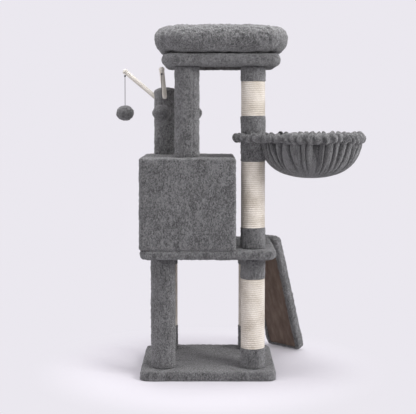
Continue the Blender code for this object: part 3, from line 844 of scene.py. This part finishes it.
def fill_with_air(piece, pins, cap, pressure=FILL_PRESSURE, frames=FILL_FRAMES):
    """Runs cloth with pressure, keeps the result, and limits how far any point moved."""
    group = piece.vertex_groups.new(name="pins")
    for index, weight in enumerate(pins):
        if weight > 0:
            group.add([index], float(weight), "REPLACE")
    cloth = piece.modifiers.new("filling", "CLOTH")
    settings = cloth.settings
    settings.quality = 6
    settings.mass = 0.25
    settings.tension_stiffness = 12
    settings.compression_stiffness = 12
    settings.bending_stiffness = 0.35
    settings.use_pressure = True
    settings.uniform_pressure_force = pressure
    settings.vertex_group_mass = "pins"
    settings.effector_weights.gravity = 0.0
    cloth.point_cache.frame_start = 1
    cloth.point_cache.frame_end = frames
    before = np.array([vertex.co for vertex in piece.data.vertices])
    scene = bpy.context.scene
    for frame_number in range(1, frames + 1):
        scene.frame_set(frame_number)
    bake(piece)
    scene.frame_set(1)
    after = np.array([vertex.co for vertex in piece.data.vertices])
    move = after - before
    far = np.linalg.norm(move, axis=1)
    share = np.minimum(1.0, cap / np.maximum(far, 1e-9))
    for vertex, place in zip(piece.data.vertices, before + move * share[:, None]):
        vertex.co = place
    return float(far.max())


def bolster_rows(low, high, radius, start):
    """Rings round the bolster's path, drawn in at the four corner seams."""
    centre_z = (low.z + high.z) / 2
    inner_low = (low.x + radius, low.y + radius)
    inner_high = (high.x - radius, high.y - radius)
    path, gaps = loop_path(inner_low, inner_high, BOLSTER_CORNER, BOLSTER_STEP)
    outward = outward_of(np.roll(path, -1, axis=0) - np.roll(path, 1, axis=0))
    pinch = 1 - SEAM_PINCH * np.exp(-((gaps / SEAM_REACH) ** 2))
    angle = np.linspace(0, 2 * math.pi, BOLSTER_COLUMNS, endpoint=False)
    reach = radius * start * pinch[:, None]
    side = reach * np.cos(angle)[None, :]
    rise = reach * np.sin(angle)[None, :]
    return rows_beside(path, outward, side, centre_z + rise)[:, ::-1], gaps, angle[::-1]


print("bolster path and cloth helper ready")

# %% Bolster covered with pile
BOLSTER_TUFT = 1.25
CREASE_DEEP = 0.0022


def smooth(piece, levels):
    modifier = piece.modifiers.new("smoother", "SUBSURF")
    modifier.levels = levels
    modifier.render_levels = levels
    bake(piece)


def make_bolster():
    low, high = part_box("perch_bolster")
    radius = (high.z - low.z) / 2
    rows, gaps, angle = bolster_rows(low, high, radius, BOLSTER_START)
    mesh = tube_mesh("perch_bolster_cushion", rows, cyclic=True)
    piece = add_object(mesh.name, mesh, plush, "tree")
    on_corner_seam = gaps < BOLSTER_STEP * PIN_REACH
    on_base_seam = np.abs(angle - math.radians(270)) < 2 * math.pi / BOLSTER_COLUMNS
    pins = np.where(on_corner_seam[:, None] | on_base_seam[None, :], 1.0, 0.0).ravel()
    swelled = fill_with_air(piece, pins, FILL_CAP)
    smooth(piece, levels=2)
    raise_pile(piece, 71.0, BOLSTER_TUFT, CREASE_DEEP)
    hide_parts("perch_bolster")
    return swelled


print("bolster swelled by", round(make_bolster() * 1000, 1), "mm")

# %% [markdown]
# ## The perch's cushion
# A thin square cushion lies inside the bolster. It is highest in the middle and thin at
# its edges, where its two sheets are sewn together. The sheets are drawn with a low crown,
# their edge is pinned, and the filling pushes them out by another millimetre or so.

# %% Cushion
CUSHION_STEPS = 44
CUSHION_CAP = 0.006
CUSHION_PRESSURE = 1.5
CUSHION_FRAMES = 12
CUSHION_PINNED = 0.93
CUSHION_CREASE = 0.0012
CORNER_PULL = 0.35
CROWN_SHARE = 0.55
SEAM_SHARE = 0.75
UNDER_SHARE = 0.74
WELD_GAP = 0.0002


def cushion_mesh(low, high):
    """Two square sheets joined at the edge, a little apart in the middle."""
    work = bmesh.new()
    bmesh.ops.create_grid(work, x_segments=CUSHION_STEPS, y_segments=CUSHION_STEPS, size=1.0)
    made = bmesh.ops.duplicate(work, geom=list(work.faces))
    under = {item for item in made["geom"] if isinstance(item, bmesh.types.BMVert)}
    middle = (low + high) / 2
    half = (high - low) / 2
    for vertex in work.verts:
        u, v = vertex.co.x, vertex.co.y
        squareness = max(1.0, math.hypot(u, v) ** CORNER_PULL)
        crown = max(0.0, (1 - u**4) * (1 - v**4)) ** 0.5
        rise = half.z * CROWN_SHARE * crown
        centre = low.z + half.z * SEAM_SHARE
        height = centre - min(rise, half.z * UNDER_SHARE) if vertex in under else centre + rise
        vertex.co = (middle.x + half.x * u / squareness, middle.y + half.y * v / squareness, height)
    bmesh.ops.remove_doubles(work, verts=work.verts, dist=WELD_GAP)
    bmesh.ops.recalc_face_normals(work, faces=work.faces)
    mesh = bpy.data.meshes.new("perch_cushion_pad")
    work.to_mesh(mesh)
    work.free()
    return mesh


def make_cushion():
    low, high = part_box("perch_cushion")
    piece = add_object("perch_cushion_pad", cushion_mesh(low, high), plush, "tree")
    middle = (low + high) / 2
    half = (high - low) / 2
    pins = [
        float(max(abs(v.co.x - middle.x) / half.x, abs(v.co.y - middle.y) / half.y) > CUSHION_PINNED)
        for v in piece.data.vertices
    ]
    swelled = 0.0
    swelled = fill_with_air(piece, pins, CUSHION_CAP, CUSHION_PRESSURE, CUSHION_FRAMES)
    smooth(piece, levels=1)
    raise_pile(piece, 83.0, 1.0, CUSHION_CREASE)
    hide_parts("perch_cushion")
    return swelled


print("cushion swelled by", round(make_cushion() * 1000, 1), "mm")

# %% [markdown]
# ## The hammock's rim
# A steel wire carries the hammock. It runs round the bowl and then round the column, and a
# plush casing is pushed together along it, so the casing is full of small cross folds. A
# fold is a ripple of the tube's radius along its length. To look pushed together and not
# turned on a lathe, the folds lean and vary in depth, and the tube's middle line wanders.

# %% Rim casing and neck sleeve
HAMMOCK_Z = 0.710
RING_CENTRE_X = 0.303
RING_RADIUS = 0.145
NECK_GAP = 0.0006
RIM_STEP = 0.0021
RIM_COLUMNS = 26
RIM_FOLD = 0.0215
RIM_FOLD_DEEP = 0.55
RIM_DROOP = 0.0030
RIM_WANDER = 0.0056
RIM_PLUMP = 1.12
NECK_FOLD_SHARE = 0.8
RING_POINTS = 200
NECK_POINTS = 60
SPOT_SPREAD = 34
SPOT_ROUND = 0.8
FOLD_LEAN = 3.4
FOLD_UNEVEN = 3.6
WANDER_SPREAD = 42
SIDE_SHARE = 0.6
END_PINCH = 0.35
END_REACH = 0.004


def hammock_line(column_x, column_y, sleeve_radius, neck_radius):
    """The wire's own line: an arc round the bowl, and the way round the column and back."""
    wrap_radius = sleeve_radius + neck_radius + NECK_GAP
    tangent = math.radians(90) + math.asin((RING_RADIUS - wrap_radius) / (RING_CENTRE_X - column_x))

    def arc(centre_x, radius, start, end, steps):
        angles = np.linspace(start, end, steps)
        return np.stack([centre_x + radius * np.cos(angles), column_y + radius * np.sin(angles)], axis=-1)

    ring = arc(RING_CENTRE_X, RING_RADIUS, -tangent, tangent, RING_POINTS)
    back = arc(column_x, wrap_radius, tangent, 2 * math.pi - tangent, NECK_POINTS)
    return ring, np.concatenate([ring[-1:], back, ring[:1]])


def resample(line, step):
    gaps = np.linalg.norm(np.diff(line, axis=0), axis=1)
    marks = np.concatenate([[0.0], np.cumsum(gaps)])
    places = np.linspace(0.0, marks[-1], max(8, round(marks[-1] / step)))
    path = np.stack([np.interp(places, marks, line[:, 0]), np.interp(places, marks, line[:, 1])], axis=-1)
    return path, places


def gathered_tube(line, radius, fold_deep, seed, end_taper):
    """Rows of a cloth tube whose radius ripples with folds along the line."""
    path, places = resample(line, RIM_STEP)
    outward = outward_of(np.gradient(path, axis=0))
    angle = np.linspace(0, 2 * math.pi, RIM_COLUMNS, endpoint=False)[None, :]
    along = places[:, None] + 0 * angle
    lean = 0.35 * np.sin(angle * 2 + along * 31) + 0.25 * np.sin(angle + along * 57)
    spots = ring_points(SPOT_ROUND, angle, along * SPOT_SPREAD)[..., [2, 0, 1]]
    uneven = ripple(spots, 1.0, 1.0, seed)
    folds = 0.5 + 0.5 * np.sin(2 * math.pi * along / RIM_FOLD + lean * FOLD_LEAN + uneven * FOLD_UNEVEN)
    deep = fold_deep * (0.55 + 0.65 * ripple(spots * 0.4, 1.0, 1.0, seed + 5) + 0.2 * uneven)
    plump = RIM_PLUMP - 0.12 * ripple(spots * 0.25, 1.0, 1.0, seed + 9)
    reach = radius * (plump - np.clip(deep, 0.05, 0.6) * (1 - folds))
    if end_taper:
        from_end = np.minimum(places, places[-1] - places)[:, None]
        reach = reach * (1 - END_PINCH * np.exp(-((from_end / END_REACH) ** 2)))
    middles = np.stack([along * WANDER_SPREAD] * 3, axis=-1)
    side = reach * np.cos(angle) + RIM_WANDER * SIDE_SHARE * ripple(middles, 1.0, 1.0, seed + 13)
    rise = reach * np.sin(angle) - RIM_DROOP * (1 - folds) + RIM_WANDER * ripple(middles, 1.0, 1.0, seed + 17)
    # Painted shade: the fold valleys store a value that darkens the plush there.
    painted_shade_values = np.clip((1 - folds) * 1.6 - 0.4, 0, 1)
    rows = rows_beside(path, outward, side, HAMMOCK_Z + rise)
    return rows[:, ::-1], float(places[-1]), painted_shade_values[:, ::-1]


def wrap_points(rows, seed, lift):
    """Adds pile noise to rows of points, out from the middle of each ring."""
    middle = rows.mean(axis=1, keepdims=True)
    out = rows - middle
    out /= np.linalg.norm(out, axis=-1, keepdims=True)
    return rows + out * (pile_depth(rows, seed) * lift)[..., None]


_, _, column_middle, sleeve_radius = round_box("column_middle_cuff")
column_x, column_y = column_middle.xy
neck_low, neck_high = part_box("hammock_neck_sleeve")
rim_low, rim_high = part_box("hammock_rim_casing")
neck_radius = (neck_high.z - neck_low.z) / 2
rim_radius = (rim_high.z - rim_low.z) / 2
ring_line, neck_line = hammock_line(column_x, column_y, sleeve_radius, neck_radius)
rim_rows, rim_length, rim_painted_shade = gathered_tube(ring_line, rim_radius, RIM_FOLD_DEEP, 5.0, False)
neck_fold_deep = RIM_FOLD_DEEP * NECK_FOLD_SHARE
neck_rows, neck_length, neck_painted_shade = gathered_tube(neck_line, neck_radius, neck_fold_deep, 19.0, True)
rim_mesh = tube_mesh("hammock_rim_gathers", wrap_points(rim_rows, 5.0, 0.5), values=rim_painted_shade)
neck_mesh = tube_mesh("hammock_neck_gathers", wrap_points(neck_rows, 19.0, 0.4), values=neck_painted_shade)
rim = add_object(rim_mesh.name, rim_mesh, plush, "hammock")
neck = add_object(neck_mesh.name, neck_mesh, plush, "hammock")
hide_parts("hammock_rim_casing")
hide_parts("hammock_neck_sleeve")
print("rim", round(rim_length, 3), "m, neck", round(neck_length, 3), "m")

# %% [markdown]
# ## The hammock's bowl
# The bowl is one round piece of plush. Its edge is longer than the rim, so it is gathered
# there: folds start deep under the casing and die out towards the bottom, where the cloth
# is pulled smooth by its own weight. The mesh is a fan of such folds round a smooth
# profile, given a thickness afterwards. It stores a value of painted shade, high in the
# fold valleys and a little everywhere, so the whole bowl is painted a shade darker than
# the rim.

# %% Bowl
BOWL_PROFILE = (
    (0.1475, 0.7040),
    (0.1480, 0.6940),
    (0.1400, 0.6610),
    (0.1210, 0.6310),
    (0.0950, 0.6105),
    (0.0600, 0.5975),
    (0.0, 0.5912),
)
BOWL_ROWS = 54
BOWL_COLUMNS = 520
BOWL_FOLDS = 36
FOLD_HEIGHT = 0.0140
# The least painted shade, given to the whole bowl; the fold valleys get more.
BOWL_PAINTED_SHADE = 0.22
BOWL_CENTRE = 0.0015
BOWL_CALM = 0.06
PILE_CALM = 0.02
BOWL_PILE = 0.7
VALLEY_EDGE = 0.55
VALLEY_DROP = 0.80
CLOTH_THICK = 0.0035


def smooth_profile(points, count):
    """A smooth curve through the profile's points, evenly spaced."""
    points = np.array(points)
    chord = np.concatenate([[0.0], np.cumsum(np.linalg.norm(np.diff(points, axis=0), axis=1))])
    slopes = np.gradient(points, chord, axis=0)
    slopes[-1] = (slopes[-1][0], 0.0)
    places = np.linspace(0, chord[-1], count)
    index = np.clip(np.searchsorted(chord, places, side="right") - 1, 0, len(chord) - 2)
    span = chord[index + 1] - chord[index]
    t = ((places - chord[index]) / span)[:, None]
    p0, p1, m0, m1 = points[index], points[index + 1], slopes[index], slopes[index + 1]
    span = span[:, None]
    return (
        (2 * t**3 - 3 * t**2 + 1) * p0
        + (t**3 - 2 * t**2 + t) * span * m0
        + (3 * t**2 - 2 * t**3) * p1
        + (t**3 - t**2) * span * m1
    ), places


def make_bowl():
    profile, places = smooth_profile(BOWL_PROFILE, BOWL_ROWS)
    profile[:, 0] = np.maximum(profile[:, 0], BOWL_CENTRE)
    out, height = profile[:, :1], profile[:, 1:]
    angle = np.linspace(0, 2 * math.pi, BOWL_COLUMNS, endpoint=False)[None, :]
    depth = (places / places[-1])[:, None]
    circle = ring_points(6, angle, 1.6 * depth)
    wander = ripple(circle, 1.0, 1.0, 2.0)
    share = np.clip(0.5 + 0.9 * ripple(circle * 0.7, 1.0, 1.0, 12.0), 0.05, 1.0)
    fade = np.clip(1 - depth / (0.58 + 0.30 * share), 0, 1) ** 0.8
    wave = np.abs(np.sin(BOWL_FOLDS / 2 * angle + 2.6 * wander))
    folds = wave**VALLEY_EDGE - VALLEY_DROP
    reach = out + FOLD_HEIGHT * folds * fade * (0.85 + 0.5 * share) * np.minimum(1.0, out / BOWL_CALM)
    pile = pile_depth(ring_points(out, angle, height), 9.0) * BOWL_PILE
    reach = reach + pile * np.minimum(1, out / PILE_CALM)
    rows = ring_points(reach, angle, height) + (RING_CENTRE_X, column_y, 0.0)
    # Painted shade: high in the fold valleys, and the bowl's base amount everywhere.
    painted_shade_values = BOWL_PAINTED_SHADE + (1 - BOWL_PAINTED_SHADE) * np.clip(1.1 * (1 - wave) ** 0.9, 0, 1) * fade**0.5
    mesh = tube_mesh("hammock_gathered_bowl", rows[::-1], values=painted_shade_values[::-1])
    work = bmesh.new()
    work.from_mesh(mesh)
    middle_height = (BOWL_PROFILE[0][1] + BOWL_PROFILE[-1][1]) / 2
    centre_hole = [e for e in work.edges if e.is_boundary and e.verts[0].co.z < middle_height]
    bmesh.ops.holes_fill(work, edges=centre_hole)
    bmesh.ops.recalc_face_normals(work, faces=work.faces)
    work.to_mesh(mesh)
    work.free()
    piece = add_object("hammock_gathered_bowl", mesh, plush, "hammock")
    wall = piece.modifiers.new("cloth", "SOLIDIFY")
    wall.thickness = CLOTH_THICK
    wall.offset = -1.0
    bake(piece)
    piece.data.shade_smooth()
    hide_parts("hammock_bowl")


make_bowl()

# %% [markdown]
# ## The toys
# Each arm is a rod wound with thin rope, with a rounded end. The same winding as on the
# posts does it, laid along the arm's own axis. A few turns of thin rope go round the arm
# near its tip, and a small knot of dark string hangs under it, at the top of the ball's
# string. The balls are stuffed plush, nearly round.

# %% Arms, ties, knots and balls
ARM_AZIMUTHS = (175.0, -93.0, 48.5)
ARM_SLOPE = math.radians(40.0)
ARM_ROOT_Z = 0.836
ARM_LENGTH = 0.129
ARM_RADIUS = 0.0075
ARM_HIDDEN = 0.010
ARM_PITCH = 0.0042
ARM_BULGE = 0.0011
ARM_COLUMNS = 40
ARM_END = 0.003
ARM_END_ROWS = 6
ARM_END_DROP = 0.0006
ARM_TIP = 0.0001
TIE_FROM_TIP = 0.006
TIE_TURNS = 2.5
TIE_THICK = 0.0016
TIE_BEDDED = 0.35
TIE_POINTS = 70
KNOT_THICK = 0.0011
KNOT_POINTS = 60
KNOT_SHARE = 0.75
BALL_TUFT = 1.1


def arm_matrix(azimuth):
    """Z runs out along the arm."""
    _, _, post, _ = round_box("toy_post_core")
    turn = Matrix.Rotation(math.radians(azimuth), 4, "Z")
    start = turn @ Vector((sleeve_radius, 0.0, 0.0))
    lean = Matrix.Rotation(math.radians(90) - ARM_SLOPE, 4, "Y")
    return Matrix.Translation((post.x + start.x, post.y + start.y, ARM_ROOT_Z)) @ turn @ lean


def wind_arm(number, matrix):
    end = ARM_LENGTH - ARM_END
    points, depth = winding(ARM_RADIUS, -ARM_HIDDEN, end, ARM_PITCH, ARM_BULGE, ARM_COLUMNS)
    rows = list(points)
    painted_shades = list(depth)
    angle = np.arctan2(points[-1][:, 1], points[-1][:, 0])
    for step in range(1, ARM_END_ROWS + 1):
        lean = math.radians(90) * step / ARM_END_ROWS
        reach = max((ARM_RADIUS - ARM_END_DROP) * math.cos(lean), ARM_TIP)
        rows.append(ring_points(reach, angle, end + ARM_END * math.sin(lean)))
        painted_shades.append(depth[-1] * 0)
    name = f"toy_arm_{number}_winding"
    # Depth between turns is stored as painted shade; the rounded end gets none.
    mesh = tube_mesh(name, np.array(rows), values=np.array(painted_shades))
    mesh.transform(matrix)
    piece = add_object(name, mesh, rope, "tree")
    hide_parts(f"toy_arm_{number}")


def tube_along(name, path, radius, columns=8):
    """A thin tube along points in space, turned as little as possible from ring to ring."""
    path = [Vector(point) for point in path]
    rows = []
    turns = np.linspace(0, 2 * math.pi, columns, endpoint=False)
    side = Vector((0.0, 0.0, 1.0))
    for index, point in enumerate(path):
        ahead = (path[min(index + 1, len(path) - 1)] - path[max(index - 1, 0)]).normalized()
        side = (side - ahead * side.dot(ahead)).normalized()
        other = ahead.cross(side)
        ring = [point + side * (radius * math.cos(a)) + other * (radius * math.sin(a)) for a in turns]
        rows.append([tuple(spot) for spot in ring])
    return tube_mesh(name, np.array(rows))


def tie_arm(number, matrix):
    """Turns of thin rope round the arm, just short of its tip."""
    reach = ARM_RADIUS + TIE_THICK * TIE_BEDDED
    centre = ARM_LENGTH - TIE_FROM_TIP
    path = []
    for a in np.linspace(0.0, 2 * math.pi * TIE_TURNS, TIE_POINTS):
        along = centre + TIE_THICK * (a / (2 * math.pi) - TIE_TURNS / 2)
        path.append(matrix @ Vector((reach * math.cos(a), reach * math.sin(a), along)))
    name = f"toy_{number}_tie"
    add_object(name, tube_along(name, path, TIE_THICK / 2), rope, "tree")


def make_knot(number):
    low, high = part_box(f"toy_knot_{number}")
    centre = (low + high) / 2
    size = (high.z - low.z) / 2
    path = []
    for a in np.linspace(0.0, 2 * math.pi, KNOT_POINTS):
        wide = (2 + math.cos(3 * a)) / 3
        place = Vector((wide * math.cos(2 * a), wide * math.sin(2 * a), math.sin(3 * a) * 0.9))
        path.append(centre + place * (size * KNOT_SHARE))
    name = f"toy_{number}_tied_knot"
    mesh = tube_along(name, path, KNOT_THICK)
    piece = add_object(name, mesh, string_material, f"toy_link_{number}")
    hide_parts(f"toy_knot_{number}")


def make_ball(number):
    low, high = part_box(f"toy_ball_{number}")
    work = bmesh.new()
    bmesh.ops.create_icosphere(work, subdivisions=6, radius=1.0)
    mesh = bpy.data.meshes.new(f"toy_{number}_plush_ball")
    work.to_mesh(mesh)
    work.free()
    half = (high - low) / 2
    mesh.transform(Matrix.Translation((low + high) / 2) @ Matrix.Diagonal((*half, 1.0)))
    piece = add_object(mesh.name, mesh, plush, f"toy_drop_{number}")
    raise_pile(piece, 90.0 + number * 4.0, BALL_TUFT)
    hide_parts(f"toy_ball_{number}")


for number, azimuth in zip(TOYS, ARM_AZIMUTHS):
    matrix = arm_matrix(azimuth)
    wind_arm(number, matrix)
    tie_arm(number, matrix)
    make_knot(number)
    make_ball(number)
print("made", len(TOYS), "toys")

# %% [markdown]
# ## The ramp
# The ramp is a board with thick plush over its front and edges. Its bare back shows from
# the tree's front. It is built flat, like the other boards, and then stood up by one
# matrix: turned 45 degrees, leaning back, with its foot on the floor.

# %% Ramp cover
RAMP_WIDTH = 0.134
RAMP_LENGTH = 0.401
RAMP_THICK = 0.026
RAMP_LEAN = math.radians(18.0)
RAMP_FOOT = (0.2510, 0.2415)
RAMP_BORDER = 0.011
RAMP_CORNER = 0.012
RAMP_BOARD_BACK = -0.0030
RAMP_WINDOW_DEEP = 0.007
RAMP_PUFF = 0.005
RAMP_PROUD = 0.001
RAMP_EDGE = 0.010
RAMP_WINDOW_CORNER = 0.006


def ramp_matrix():
    """X across, Y up the slope, Z out of the bare back."""
    out = Vector((1.0, 1.0, 0.0)).normalized()
    up = Vector((0.0, 0.0, math.cos(RAMP_LEAN))) - out * math.sin(RAMP_LEAN)
    back = -(out * math.cos(RAMP_LEAN) + Vector((0.0, 0.0, math.sin(RAMP_LEAN))))
    turn = Matrix((up.cross(back), up, back)).transposed().to_4x4()
    return Matrix.Translation((*RAMP_FOOT, 0.0)) @ turn


def make_ramp_cover():
    stand = ramp_matrix()
    side = RAMP_WIDTH / 2 + RAMP_PUFF
    outline = rounded_outline((-side, 0.0), (side, RAMP_LENGTH), RAMP_CORNER + RAMP_PUFF)
    piece = plate("ramp_cover_pile", outline, -RAMP_THICK - RAMP_PUFF, RAMP_PROUD)
    bevel(piece, RAMP_EDGE)
    inner = RAMP_WIDTH / 2 - RAMP_BORDER
    ends = (RAMP_BORDER, RAMP_LENGTH - RAMP_BORDER)
    opening = rounded_outline((-inner, ends[0]), (inner, ends[1]), RAMP_WINDOW_CORNER)
    cutter = plate("ramp_window", opening, RAMP_BOARD_BACK - RAMP_WINDOW_DEEP, BELOW)
    bake(piece)
    piece.data.transform(stand)
    cutter.data.transform(stand)
    carve(piece, cutter)
    finish_pile(piece, [cutter], 101.0)
    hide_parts("ramp_cover")
    return len(piece.data.polygons)


print("ramp cover:", make_ramp_cover(), "faces")

# %% [markdown]
# ## Floor and light
# A plain pale floor and soft light from above and in front keep attention on the tree.
# Three large lamps give soft shadows, and the pale surroundings fill them. Away from the
# tree the floor fades into a glow of the surroundings' colour.

# %% Floor and light
FLOOR_SHADE = (0.600, 0.583, 0.616)
BACKDROP_SHADE = (0.830, 0.807, 0.863)
FLOOR_FADE = (0.28, 0.56)
FLOOR_HALF = 30.0
LAMP_SIZE = 1.2
LAMPS = (
    ("right_lamp", (1.9, -1.5, 1.9), (0.0, 0.0, 0.6), 54.0),
    ("left_lamp", (-2.2, -1.2, 1.4), (0.0, 0.0, 0.6), 6.0),
    ("top_lamp", (0.0, -0.1, 2.6), (0.0, 0.0, 0.5), 48.0),
)


def make_floor():
    """Plain near the tree. Further off it glows like the backdrop, which hides the horizon."""
    mesh = bpy.data.meshes.new("floor")
    signs = ((-1, -1), (1, -1), (1, 1), (-1, 1))
    mesh.from_pydata([(x * FLOOR_HALF, y * FLOOR_HALF, 0) for x, y in signs], [], [(0, 1, 2, 3)])
    floor = bpy.data.objects.new("floor", mesh)
    bpy.context.scene.collection.objects.link(floor)
    graph = Graph("pale_floor", roughness=0.9)
    graph.colour((*FLOOR_SHADE, 1.0))
    far = graph.add("VectorMath", output="Value", settings={"operation": "LENGTH"}, i0=graph.place)
    smooth_step = {"interpolation_type": "SMOOTHSTEP"}
    near, gone = FLOOR_FADE
    fade = graph.add("MapRange", settings=smooth_step, Value=far, From_Min=near, From_Max=gone)
    glow = graph.add("Emission", Color=(*BACKDROP_SHADE, 1.0), Strength=1.0)
    both = graph.add("MixShader", i0=fade, i1=graph.shader.outputs[0], i2=glow)
    graph.links.new(both, graph.nodes["Material Output"].inputs["Surface"])
    mesh.materials.append(graph.material)


def make_lamp(name, place, target, power):
    data = bpy.data.lights.new(name, "AREA")
    data.size = LAMP_SIZE
    data.energy = power
    lamp = bpy.data.objects.new(name, data)
    bpy.context.scene.collection.objects.link(lamp)
    lamp.location = place
    lamp.rotation_euler = (Vector(target) - Vector(place)).to_track_quat("-Z", "Y").to_euler()


def make_surroundings():
    world = bpy.data.worlds.new("pale_studio")
    world.use_nodes = True
    background = world.node_tree.nodes["Background"]
    background.inputs["Color"].default_value = (*BACKDROP_SHADE, 1.0)
    background.inputs["Strength"].default_value = 1.0
    bpy.context.scene.world = world


make_floor()
make_surroundings()
for lamp in LAMPS:
    make_lamp(*lamp)
bpy.context.scene.view_settings.view_transform = "Standard"
print("floor, surroundings and", len(LAMPS), "lamps")
